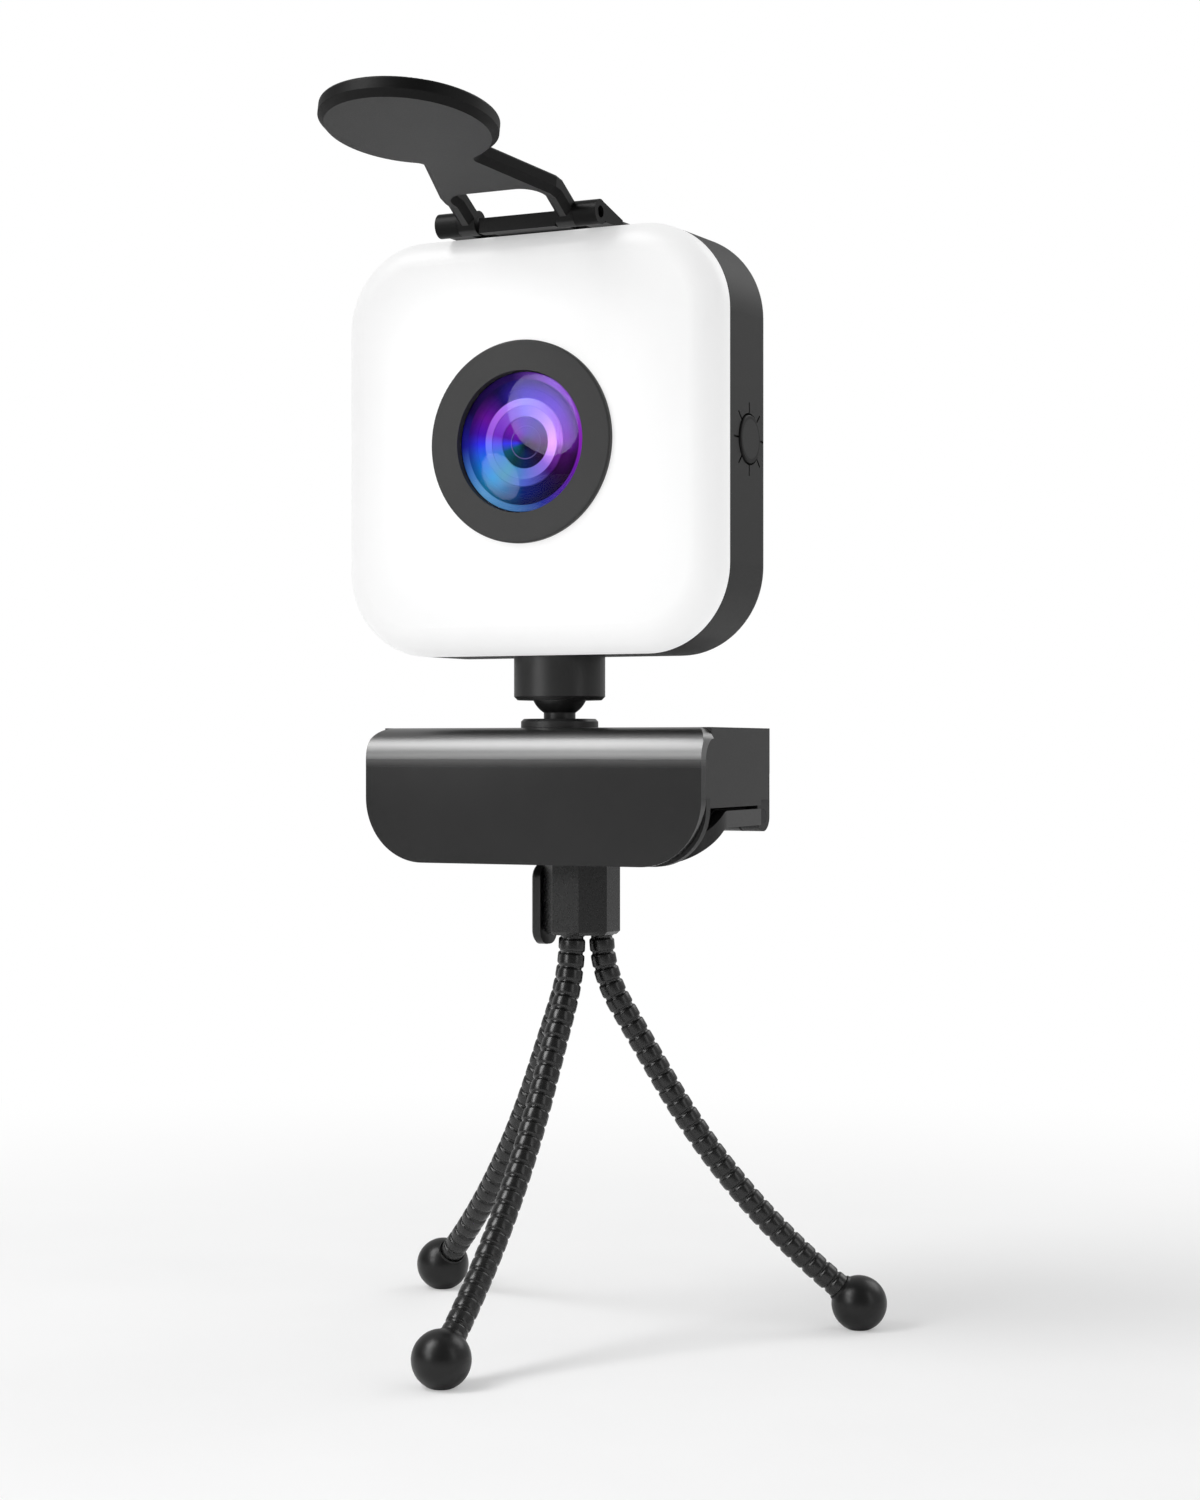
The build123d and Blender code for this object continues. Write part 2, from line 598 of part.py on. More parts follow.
# Cover bracket: a plate on the housing's top, two end knuckles and a bar between the cover's prongs
PRONG_OUT = PRONG_IN + PRONG_W
HINGE_HALF = PRONG_OUT + RUN + BRACKET_KNUCKLE_W
KNUCKLE_MID = HINGE_HALF - BRACKET_KNUCKLE_W / 2
HINGE = Plane(origin=(0, COVER_AXIS_Y, COVER_AXIS_Z), x_dir=(0, 1, 0), z_dir=(1, 0, 0))
PLATE_FRONT = COVER_AXIS_AHEAD + DIFFUSER_D + FIT
with BuildPart() as cover_bracket:
    with BuildSketch(level(COVER_AXIS_Y + PLATE_FRONT + BRACKET_D / 2, HEAD_TOP)):
        RectangleRounded(2 * HINGE_HALF, BRACKET_D, BRACKET_T)
    extrude(amount=BRACKET_T)
    chamfer(cover_bracket.faces().sort_by(Axis.Z)[-1].edges(), BRACKET_EDGE)
    with BuildSketch(HINGE.offset(KNUCKLE_MID), HINGE.offset(-KNUCKLE_MID)):
        Circle(COVER_KNUCKLE_R)
        with BuildLine():
            Polyline(
                (0, 0),
                (0, COVER_KNUCKLE_R),
                (PLATE_FRONT + BRACKET_T, BRACKET_T - COVER_AXIS_UP),
                (PLATE_FRONT + BRACKET_T, FIT - COVER_AXIS_UP),
                (COVER_KNUCKLE_R, FIT - COVER_AXIS_UP),
                close=True,
            )
        make_face()
    extrude(amount=BRACKET_KNUCKLE_W / 2, both=True)
    with BuildSketch(HINGE):
        with BuildLine():
            Polyline(
                (-BRACKET_BAR_HALF, -BRACKET_BAR_LOW),
                (-BRACKET_BAR_HALF, BRACKET_BAR_TOP),
                (BRACKET_BAR_HALF, BRACKET_BAR_TOP),
                (PLATE_FRONT, BRACKET_T - COVER_AXIS_UP),
                (PLATE_FRONT + BRACKET_T, BRACKET_T - COVER_AXIS_UP),
                (PLATE_FRONT + BRACKET_T, GAP - COVER_AXIS_UP),
                (COVER_KNUCKLE_R, GAP - COVER_AXIS_UP),
                (BRACKET_BAR_HALF, -BRACKET_BAR_LOW),
                close=True,
            )
        make_face()
    extrude(amount=PRONG_IN - GAP, both=True)
    with BuildSketch(level(SEAM_Y + BRACKET_D / 2, HEAD_TOP)):
        with GridLocations(2 * PEG_X, 0, 2, 1):
            Circle(PEG_R)
    extrude(amount=-HOUSING_WALL)
    with BuildSketch(HINGE):
        Circle(COVER_PIN_R + FIT)
    extrude(amount=HINGE_HALF, both=True, mode=Mode.SUBTRACT)
save(cover_bracket, "cover_bracket")

# Cover pins: one at each end, sunk into the bracket's knuckles
with BuildPart() as cover_pins:
    for side in (1, -1):
        with BuildSketch(HINGE.offset(side * (HINGE_HALF - PIN_SINK))):
            Circle(COVER_PIN_R)
        extrude(amount=-side * (HINGE_HALF - PIN_SINK - PRONG_IN))
save(cover_pins, "cover_pins")

# Lens cover: a disc on a forked arm, drawn in its raised place
ARM_DIR = (0, -cos(RAISE), sin(RAISE))
COVER = Plane(
    origin=(0, COVER_AXIS_Y, COVER_AXIS_Z), x_dir=(1, 0, 0), z_dir=(0, -sin(RAISE), -cos(RAISE))
)
PRONG = Plane(origin=(0, COVER_AXIS_Y, COVER_AXIS_Z), x_dir=ARM_DIR, z_dir=(1, 0, 0))
ALONG = Plane(origin=(0, COVER_AXIS_Y, COVER_AXIS_Z), x_dir=(1, 0, 0), z_dir=ARM_DIR)
prong_mid = (PRONG_IN + PRONG_OUT) / 2


def prong_section(side, low, high):
    """Corners of one prong's outline across the arm, its lower edges cut."""
    half = PRONG_W / 2
    middle = side * prong_mid
    return [
        (middle - half + COVER_CHAMFER, low),
        (middle + half - COVER_CHAMFER, low),
        (middle + half, low + COVER_CHAMFER),
        (middle + half, high - PRONG_EDGE),
        (middle + half - PRONG_EDGE, high),
        (middle - half + PRONG_EDGE, high),
        (middle - half, high - PRONG_EDGE),
        (middle - half, low + COVER_CHAMFER),
    ]


with BuildPart() as lens_cover:
    with BuildSketch(COVER.offset(-COVER_OFFSET)) as cover_outline:
        with Locations((0, ARM_L)):
            Circle(DISC_R)
        with BuildLine():
            Polyline(
                (-PRONG_OUT, PRONG_BEND),
                (-PRONG_OUT, FORK_L),
                (-ARM_HALF, ARM_MEET),
                (ARM_HALF, ARM_MEET),
                (PRONG_OUT, FORK_L),
                (PRONG_OUT, PRONG_BEND),
                close=True,
            )
        make_face()
        with Locations((0, FORK_SLOT_L / 2)):
            Rectangle(2 * PRONG_IN, FORK_SLOT_L, mode=Mode.SUBTRACT)
        meets = cover_outline.vertices().filter_by(
            lambda v: ARM_HALF / 2 < abs(v.X) < DISC_R / 2 + ARM_HALF / 2
            and FORK_SLOT_L + FIT < v.Y < ARM_L
        )
        fillet(meets, ARM_FILLET)
        corners = cover_outline.vertices().filter_by(
            lambda v: abs(v.Y - FORK_SLOT_L) < FIT and abs(v.X) < PRONG_OUT
        )
        fillet(corners, SLOT_CORNER)
    extrude(amount=-COVER_T)

    def on_outline(edge):
        reach = (edge.center() - ALONG.origin).dot(ALONG.z_dir)
        return reach > PRONG_BEND + FIT

    cover_faces = lens_cover.faces().sort_by(Axis((0, 0, 0), COVER.z_dir))
    chamfer(cover_faces[-1].edges().filter_by(on_outline), COVER_CHAMFER)
    cover_faces = lens_cover.faces().sort_by(Axis((0, 0, 0), COVER.z_dir))
    fillet(cover_faces[0].edges().filter_by(on_outline), COVER_EDGE)
    for side in (1, -1):
        with BuildSketch(ALONG.offset(PRONG_BEND)):
            with BuildLine():
                Polyline(*prong_section(side, COVER_OFFSET, COVER_OFFSET + COVER_T), close=True)
            make_face()
        with BuildSketch(ALONG.offset(COVER_KNUCKLE_R / 3)):
            with BuildLine():
                Polyline(*prong_section(side, -PRONG_ROOT_LOW, COVER_KNUCKLE_R - PRONG_EDGE), close=True)
            make_face()
        loft()
        with BuildSketch(PRONG.offset(side * prong_mid)):
            Circle(COVER_KNUCKLE_R)
        extrude(amount=PRONG_W / 2, both=True)
    with BuildSketch(PRONG):
        Circle(COVER_PIN_R + RUN)
    extrude(amount=PRONG_OUT, both=True, mode=Mode.SUBTRACT)
    with BuildSketch(COVER.offset(-COVER_OFFSET - COVER_T)):
        with Locations((0, ARM_L)):
            Circle(GROOVE_R + GROOVE_W / 2)
            Circle(GROOVE_R - GROOVE_W / 2, mode=Mode.SUBTRACT)
            with GridLocations(0, 2 * LINE_Z, 1, 2):
                Rectangle(LINE_L, GROOVE_W)
    extrude(amount=MARK_DEPTH, mode=Mode.SUBTRACT)
save(lens_cover, "lens_cover")

# Neck socket: the collar under the head, its plug through the housing's floor and the ball's cavity
CAVITY_R = BALL_R + LINER_T + 2 * FIT
with BuildPart() as neck_socket:
    with BuildSketch(level(NECK_Y, COLLAR_BOTTOM)):
        Circle(COLLAR_R)
    extrude(amount=COLLAR_H)
    chamfer(neck_socket.faces().sort_by(Axis.Z)[0].edges(), COLLAR_EDGE)
    with BuildSketch(level(NECK_Y, HEAD_BOTTOM)):
        Circle(PLUG_R)
    extrude(amount=HOUSING_WALL + PLUG_H)
    with BuildSketch(level(NECK_Y, HEAD_BOTTOM + HOUSING_WALL)):
        Circle(PLUG_R)
        Circle(PLUG_R - CLIP_RING_W / 2, mode=Mode.SUBTRACT)
    extrude(amount=CLIP_RING_T + 2 * FIT, mode=Mode.SUBTRACT)
    with Locations((0, NECK_Y, BALL_Z)):
        Sphere(CAVITY_R, mode=Mode.SUBTRACT)
save(neck_socket, "neck_socket")

# Neck ring: the spring ring that holds the plug in the floor
with BuildPart() as neck_ring:
    with BuildSketch(level(NECK_Y, HEAD_BOTTOM + HOUSING_WALL + FIT)):
        Circle(PLUG_R + CLIP_RING_W / 2)
        Circle(PLUG_R - CLIP_RING_W / 2 + FIT, mode=Mode.SUBTRACT)
    extrude(amount=CLIP_RING_T)
save(neck_ring, "neck_ring")

# Socket liner: the plastic ring between ball and socket
with BuildPart() as socket_liner:
    with Locations((0, NECK_Y, BALL_Z)):
        Sphere(CAVITY_R - FIT)
        Sphere(BALL_R + FIT, mode=Mode.SUBTRACT)
    with BuildSketch(level(NECK_Y, BALL_Z - LINER_BELOW)):
        Circle(CAVITY_R)
    extrude(amount=LINER_BELOW + LINER_ABOVE, mode=Mode.INTERSECT)
save(socket_liner, "socket_liner")

# Ball stud: ball, stem, base flange and the shank through the clip's top
SHANK_END = CLIP_TOP - CLIP_WALL - FIT
with BuildPart() as ball_stud:
    with BuildSketch(level(NECK_Y, CLIP_TOP)):
        Circle(FLANGE_R)
    extrude(amount=FLANGE_H)
    chamfer(ball_stud.faces().sort_by(Axis.Z)[-1].edges(), FLANGE_EDGE)
    with BuildSketch(level(NECK_Y, CLIP_TOP)):
        Circle(STEM_R)
    extrude(amount=BALL_Z - CLIP_TOP)
    with Locations((0, NECK_Y, BALL_Z)):
        Sphere(BALL_R)
    with BuildSketch(level(NECK_Y, SHANK_END)):
        Circle(SHANK_R)
    extrude(amount=CLIP_WALL + FIT)
    with BuildSketch(level(NECK_Y, SHANK_END)):
        Circle(SWIVEL_SCREW_R + FIT)
    extrude(amount=SWIVEL_SCREW_L, mode=Mode.SUBTRACT)
save(ball_stud, "ball_stud")

# Swivel washer and screw, under the clip's top
with BuildPart() as swivel_washer:
    with BuildSketch(level(NECK_Y, SHANK_END)):
        Circle(SWIVEL_WASHER_R)
        Circle(SWIVEL_SCREW_R + FIT, mode=Mode.SUBTRACT)
    extrude(amount=-SWIVEL_WASHER_T)
save(swivel_washer, "swivel_washer")

with BuildPart() as swivel_screw:
    with BuildSketch(level(NECK_Y, SHANK_END - SWIVEL_WASHER_T)):
        Circle(SWIVEL_HEAD_R)
    extrude(amount=-SWIVEL_HEAD_H)
    with BuildSketch(level(NECK_Y, SHANK_END - SWIVEL_WASHER_T)):
        Circle(SWIVEL_SCREW_R)
    extrude(amount=SWIVEL_WASHER_T + SWIVEL_SCREW_L - FIT)
save(swivel_screw, "swivel_screw")


def half_width(y):
    """Half the clip's width at this depth: it narrows from the panel to the rear."""
    share = (y - PANEL_Y) / CLIP_DEPTH
    return CLIP_W / 2 + share * (CLIP_REAR_W - CLIP_W) / 2


def clip_plan(front, rear, inset):
    """Corners of the clip's plan between two depths, drawn in from the sides by the inset."""
    front_half = half_width(front) - inset
    rear_half = half_width(rear) - inset
    return [(-front_half, front), (front_half, front), (rear_half, rear), (-rear_half, rear)]


# Clip front panel: a glossy skin that bends back over the clip's top
PANEL_BACK = PANEL_Y + PANEL_T
with BuildPart() as clip_front_panel:
    with BuildSketch(Plane.YZ):
        with BuildLine():
            Polyline((PANEL_BACK, LIP_BOTTOM), (PANEL_Y, LIP_BOTTOM), (PANEL_Y, CLIP_TOP - PANEL_BEND))
            TangentArc(
                (PANEL_Y, CLIP_TOP - PANEL_BEND), (PANEL_Y + PANEL_BEND, CLIP_TOP), tangent=(0, 1)
            )
            Line((PANEL_Y + PANEL_BEND, CLIP_TOP), (PANEL_Y + PANEL_BEND, CLIP_TOP - PANEL_T))
            TangentArc(
                (PANEL_Y + PANEL_BEND, CLIP_TOP - PANEL_T),
                (PANEL_BACK, CLIP_TOP - PANEL_BEND),
                tangent=(-1, 0),
            )
            Line((PANEL_BACK, CLIP_TOP - PANEL_BEND), (PANEL_BACK, LIP_BOTTOM))
        make_face()
    extrude(amount=CLIP_W / 2, both=True)
    with BuildSketch(Plane.XZ.offset(-PANEL_Y)) as panel_outline:
        with Locations((0, CLIP_TOP)):
            Rectangle(CLIP_W, LIP_H, align=(Align.CENTER, Align.MAX))
        fillet(panel_outline.vertices().group_by(Axis.Y)[0], LIP_CORNER)
        fillet(panel_outline.vertices().group_by(Axis.Y)[-1], PANEL_CORNER)
    extrude(amount=-PANEL_BEND, mode=Mode.INTERSECT)
save(clip_front_panel, "clip_front_panel")

# Clip shell: the tapered body, the lip behind the panel and the lugs of the jaw's hinge
POCKET_FRONT = LIP_BACK_Y + CLIP_WALL
NOTCH_Y = JAW_AXIS_Y - KNUCKLE_R - GAP
NOTCH_Z = JAW_AXIS_Z + KNUCKLE_R + GAP
POCKET_REAR = NOTCH_Y - CLIP_WALL
SHELL_FRONT = PANEL_BACK + FIT
SHELL_STEP = PANEL_Y + PANEL_BEND + FIT
JAW_HINGE = Plane(origin=(0, JAW_AXIS_Y, JAW_AXIS_Z), x_dir=(0, 1, 0), z_dir=(1, 0, 0))
LUG_OUT = half_width(CLIP_REAR_Y)
LUG_MID = LUG_OUT - LUG_W / 2
SCREW_FRONT = POCKET_FRONT + POST_R
SCREW_REAR = POCKET_REAR - POST_R
SCREW_PLACES = [
    (side * (half_width(y) - CLIP_WALL - POST_R), y) for side in (1, -1) for y in (SCREW_FRONT, SCREW_REAR)
]
with BuildPart() as clip_shell:
    with BuildSketch(Plane.YZ):
        with BuildLine():
            Polyline(
                (LIP_BACK_Y, BODY_BOTTOM),
                (SHELL_FRONT, BODY_BOTTOM),
                (SHELL_FRONT, CLIP_TOP - PANEL_BEND),
            )
            TangentArc(
                (SHELL_FRONT, CLIP_TOP - PANEL_BEND), (SHELL_STEP, CLIP_TOP - PANEL_T - FIT), tangent=(0, 1)
            )
            Polyline(
                (SHELL_STEP, CLIP_TOP - PANEL_T - FIT),
                (SHELL_STEP, CLIP_TOP),
                (CLIP_REAR_Y, CLIP_TOP),
                (CLIP_REAR_Y, CLIP_TOP - REAR_STEP_H),
                (CLIP_REAR_Y - REAR_STEP, CLIP_TOP - REAR_STEP_H - REAR_STEP),
                (CLIP_REAR_Y - REAR_STEP, NOTCH_Z),
                (NOTCH_Y, NOTCH_Z),
                (NOTCH_Y, BODY_BOTTOM),
                (LIP_BACK_Y, BODY_BOTTOM),
            )
        make_face()
    extrude(amount=CLIP_W / 2, both=True)
    with BuildSketch(Plane.XY.offset(BODY_BOTTOM)):
        Polygon(*clip_plan(PANEL_Y, CLIP_REAR_Y, 0), align=None)
    extrude(amount=BODY_H, mode=Mode.INTERSECT)
    fillet(clip_shell.faces().sort_by(Axis.Y)[-1].edges().filter_by(Axis.Z), PANEL_CORNER)
    with BuildSketch(Plane.XZ.offset(-SHELL_FRONT)) as lip_outline:
        with Locations((0, BODY_BOTTOM + LIP_T)):
            Rectangle(CLIP_W, BODY_BOTTOM + LIP_T - LIP_BOTTOM, align=(Align.CENTER, Align.MAX))
        fillet(lip_outline.vertices().group_by(Axis.Y)[0], min(LIP_CORNER, BODY_BOTTOM - LIP_BOTTOM))
    extrude(amount=-(LIP_BACK_Y - SHELL_FRONT))
    with BuildSketch(Plane.XY.offset(BODY_BOTTOM)):
        Polygon(*clip_plan(POCKET_FRONT, POCKET_REAR, CLIP_WALL), align=None)
    extrude(amount=BODY_H - CLIP_WALL, mode=Mode.SUBTRACT)
    with BuildSketch(Plane.XY.offset(CLIP_TOP - CLIP_WALL)):
        with Locations(*SCREW_PLACES):
            Circle(POST_R)
    extrude(amount=-(BODY_H - CLIP_WALL - BASE_T))
    with BuildSketch(Plane.XY.offset(BODY_BOTTOM + BASE_T)):
        with Locations(*SCREW_PLACES):
            Circle(BASE_SCREW_R + FIT)
    extrude(amount=BASE_SCREW_L, mode=Mode.SUBTRACT)
    with BuildSketch(JAW_HINGE.offset(LUG_MID), JAW_HINGE.offset(-LUG_MID)):
        Circle(KNUCKLE_R)
        with Locations((0, (CLIP_TOP - CLIP_WALL - JAW_AXIS_Z) / 2)):
            Rectangle(2 * KNUCKLE_R, CLIP_TOP - CLIP_WALL - JAW_AXIS_Z)
    extrude(amount=LUG_W / 2, both=True)
    with BuildSketch(JAW_HINGE):
        Circle(JAW_PIN_R + RUN)
    extrude(amount=LUG_OUT, both=True, mode=Mode.SUBTRACT)
    with BuildSketch(level(NECK_Y, CLIP_TOP)):
        Circle(SHANK_R + RUN)
    extrude(amount=-CLIP_WALL, mode=Mode.SUBTRACT)
save(clip_shell, "clip_shell")

# Clip base plate: closes the body from below, open round the jaw's boss
with BuildPart() as clip_base_plate:
    with BuildSketch(Plane.XY.offset(BODY_BOTTOM)):
        Polygon(*clip_plan(POCKET_FRONT + FIT, POCKET_REAR - FIT, CLIP_WALL + FIT), align=None)
        with Locations((0, HUB_Y)):
            Circle(BOSS_R + BOSS_ROOM, mode=Mode.SUBTRACT)
        with Locations(*SCREW_PLACES):
            Circle(BASE_SCREW_R + FIT, mode=Mode.SUBTRACT)
    extrude(amount=BASE_T)
    with BuildSketch(Plane.XY.offset(BODY_BOTTOM)):
        with Locations(*SCREW_PLACES):
            Circle(BASE_SCREW_HEAD_R + FIT)
    extrude(amount=BASE_T / 2, mode=Mode.SUBTRACT)
save(clip_base_plate, "clip_base_plate")

with BuildPart() as clip_base_screws:
    with BuildSketch(Plane.XY.offset(BODY_BOTTOM)):
        with Locations(*SCREW_PLACES):
            Circle(BASE_SCREW_HEAD_R)
    extrude(amount=BASE_T / 2)
    with BuildSketch(Plane.XY.offset(BODY_BOTTOM + BASE_T / 2)):
        with Locations(*SCREW_PLACES):
            Circle(BASE_SCREW_R)
    extrude(amount=BASE_T / 2 + BASE_SCREW_L - FIT)
save(clip_base_screws, "clip_base_screws")

# Lip pad: thin rubber on the inner face of the lip
LIP_PAD_W = CLIP_W - 2 * LIP_CORNER
LIP_PAD_H = BODY_BOTTOM - LIP_BOTTOM - LIP_PAD_MARGIN / 2
with BuildPart() as lip_pad:
    with BuildSketch(Plane.XZ.offset(-LIP_BACK_Y)):
        with Locations((0, BODY_BOTTOM)):
            Rectangle(LIP_PAD_W, LIP_PAD_H, align=(Align.CENTER, Align.MAX))
    extrude(amount=-LIP_PAD_T)
save(lip_pad, "lip_pad")

# Clip jaw: a flat plate that turns down at its toe, folded up under the body
TOE_FRONT = LIP_BACK_Y + LIP_PAD_T + GAP
TOE_BEND = HUB_Y - HUB_R - GAP
TOE_DROP = (TOE_BEND - TOE_FRONT) * tan(radians(JAW_SPLAY))
JAW_REAR = JAW_AXIS_Y - KNUCKLE_R - GAP
BARREL_HALF = LUG_OUT - LUG_W - WASHER_T - 2 * FIT


def jaw_layer(top, thickness, inset):
    """A layer of the jaw's shape under this height: level, then turned down, drawn in by the inset."""
    with BuildPart() as layer:
        with BuildSketch(Plane.YZ) as side:
            Polygon(
                (JAW_REAR, top),
                (TOE_BEND, top),
                (TOE_FRONT, top - TOE_DROP),
                (TOE_FRONT, top - TOE_DROP - thickness),
                (TOE_BEND, top - thickness),
                (JAW_REAR, top - thickness),
                align=None,
            )
            fillet(side.vertices().filter_by(lambda v: abs(v.X - TOE_BEND) < FIT), JAW_BEND_R)
        extrude(amount=CLIP_W / 2, both=True)
        with BuildSketch(Plane.XY.offset(top)) as plan:
            Polygon(*clip_plan(TOE_FRONT + inset, JAW_REAR - inset, inset), align=None)
            fillet(plan.vertices().group_by(Axis.Y)[0], JAW_CORNER - inset)
        extrude(amount=-(thickness + TOE_DROP), mode=Mode.INTERSECT)
    return layer.part


with BuildPart() as clip_jaw:
    add(jaw_layer(JAW_TOP, JAW_T, 0))
    with BuildSketch(Plane.XY.offset(JAW_BOTTOM)):
        with Locations((0, JAW_REAR)):
            Rectangle(2 * BARREL_HALF, 2 * (JAW_AXIS_Y - JAW_REAR))
    extrude(amount=JAW_T)
    with BuildSketch(JAW_HINGE):
        Circle(KNUCKLE_R)
    extrude(amount=BARREL_HALF, both=True)
    add(jaw_layer(JAW_TOP, JAW_PAD_T - JAW_PAD_PROUD, JAW_RIM), mode=Mode.SUBTRACT)
    with BuildSketch(level(HUB_Y, JAW_BOTTOM)):
        Circle(BOSS_R)
    extrude(amount=INSERT_L)
    with BuildSketch(level(HUB_Y, JAW_BOTTOM)):
        Circle(INSERT_R + FIT)
    extrude(amount=INSERT_L, mode=Mode.SUBTRACT)
    with BuildSketch(JAW_HINGE):
        Circle(JAW_PIN_R + FIT)
    extrude(amount=LUG_OUT, both=True, mode=Mode.SUBTRACT)
save(clip_jaw, "clip_jaw")

# Jaw pad: rubber let into the jaw's upper face
with BuildPart() as jaw_pad:
    add(jaw_layer(JAW_TOP + JAW_PAD_PROUD, JAW_PAD_T - FIT, JAW_RIM + FIT))
    with BuildSketch(level(HUB_Y, JAW_BOTTOM)):
        Circle(BOSS_R + FIT)
    extrude(amount=INSERT_L, mode=Mode.SUBTRACT)
save(jaw_pad, "jaw_pad")

# Jaw hinge pin and the washers beside the lugs
with BuildPart() as jaw_hinge_pin:
    with BuildSketch(JAW_HINGE):
        Circle(JAW_PIN_R)
    extrude(amount=LUG_OUT, both=True)
save(jaw_hinge_pin, "jaw_hinge_pin")

with BuildPart() as hinge_washers:
    washer_mid = LUG_OUT - LUG_W - FIT - WASHER_T / 2
    with BuildSketch(JAW_HINGE.offset(washer_mid), JAW_HINGE.offset(-washer_mid)):
        Circle(KNUCKLE_R)
        Circle(JAW_PIN_R + FIT, mode=Mode.SUBTRACT)
    extrude(amount=WASHER_T / 2, both=True)
save(hinge_washers, "hinge_washers")

# Threaded insert in the jaw's boss
with BuildPart() as thread_insert:
    with BuildSketch(level(HUB_Y, JAW_BOTTOM)):
        Circle(INSERT_R)
        Circle(STUD_R + FIT, mode=Mode.SUBTRACT)
    extrude(amount=INSERT_L)
save(thread_insert, "thread_insert")

# Tripod stud: thread, flange caught under the hub's cap, and the journal that the lock presses on
CAP_BOTTOM = HUB_BOTTOM + HUB_H
FLANGE_TOP = CAP_BOTTOM - CAP_SPIGOT - RUN
JOURNAL_TOP = FLANGE_TOP - STUD_FLANGE_T
LOCK_Z = JOURNAL_TOP - JOURNAL_L / 2
with BuildPart() as tripod_stud:
    with BuildSketch(level(HUB_Y, FLANGE_TOP)):
        Circle(STUD_R)
    extrude(amount=JAW_BOTTOM + STUD_THREAD - FLANGE_TOP)
    chamfer(tripod_stud.faces().sort_by(Axis.Z)[-1].edges(), STUD_EDGE)
    with BuildSketch(level(HUB_Y, FLANGE_TOP)):
        Circle(STUD_FLANGE_R)
    extrude(amount=-STUD_FLANGE_T)
    with BuildSketch(level(HUB_Y, JOURNAL_TOP)):
        Circle(JOURNAL_R)
    extrude(amount=-JOURNAL_L)
save(tripod_stud, "tripod_stud")

# Hub: an eight-sided block with a well for the stud and sockets for the legs
LOCK = Plane(origin=(-HUB_R - GAP, HUB_Y, LOCK_Z), x_dir=(0, -1, 0), z_dir=(-1, 0, 0))
HUB_FACET = 180 / HUB_SIDES
with BuildPart() as tripod_hub:
    with BuildSketch(level(HUB_Y, HUB_BOTTOM)):
        RegularPolygon(HUB_R, HUB_SIDES, major_radius=False, rotation=HUB_FACET)
    extrude(amount=HUB_H)
    chamfer(tripod_hub.faces().sort_by(Axis.Z)[0].edges(), HUB_EDGE)
    with BuildSketch(level(HUB_Y, CAP_BOTTOM)):
        Circle(STUD_FLANGE_R + RUN)
    extrude(amount=-(CAP_BOTTOM - JOURNAL_TOP + RUN), mode=Mode.SUBTRACT)
    with BuildSketch(level(HUB_Y, JOURNAL_TOP)):
        Circle(JOURNAL_R + RUN)
    extrude(amount=-(JOURNAL_L + RUN), mode=Mode.SUBTRACT)
    with BuildSketch(LOCK):
        Circle(LOCK_SCREW_R + RUN)
    extrude(amount=-(HUB_R + GAP), mode=Mode.SUBTRACT)
    with BuildSketch(level(HUB_Y, HUB_BOTTOM)):
        with PolarLocations(LEG_ROOT_R, len(LEG_TURNS), start_angle=LEG_TURNS["front"]):
            Circle(LEG_R + FIT)
    extrude(amount=LEG_SOCKET + FIT, mode=Mode.SUBTRACT)
save(tripod_hub, "tripod_hub")

# Hub cap: closes the well over the stud's flange
with BuildPart() as hub_cap:
    with BuildSketch(level(HUB_Y, CAP_BOTTOM)):
        RegularPolygon(HUB_R, HUB_SIDES, major_radius=False, rotation=HUB_FACET)
    extrude(amount=HUB_CAP_H)
    with BuildSketch(level(HUB_Y, CAP_BOTTOM)):
        Circle(STUD_FLANGE_R - FIT)
    extrude(amount=-CAP_SPIGOT)
    with BuildSketch(level(HUB_Y, HUB_TOP)):
        Circle(STUD_R + RUN)
    extrude(amount=-(HUB_CAP_H + CAP_SPIGOT), mode=Mode.SUBTRACT)
save(hub_cap, "hub_cap")

# Hub pad: the rubber ring between hub and jaw
with BuildPart() as hub_pad:
    with BuildSketch(level(HUB_Y, HUB_TOP)):
        Circle(HUB_R)
        Circle(STUD_R + RUN, mode=Mode.SUBTRACT)
    extrude(amount=HUB_PAD_T)
save(hub_pad, "hub_pad")

# Lock lever on its screw, at the hub's left side
with BuildPart() as lock_lever:
    with BuildSketch(LOCK):
        with Locations((0, (LEVER_UP - LEVER_DOWN) / 2)):
            RectangleRounded(LEVER_W, LEVER_UP + LEVER_DOWN, LEVER_UP - FIT)
        Circle(LOCK_SCREW_R + FIT, mode=Mode.SUBTRACT)
    extrude(amount=LEVER_T)
    chamfer(lock_lever.faces().sort_by(Axis.X)[0].edges(), LEVER_EDGE)
save(lock_lever, "lock_lever")

with BuildPart() as lock_screw:
    with BuildSketch(LOCK.offset(LEVER_T)):
        Circle(LOCK_SCREW_R)
    extrude(amount=-(LEVER_T + GAP + HUB_R - JOURNAL_R - RUN - FIT))
save(lock_screw, "lock_screw")

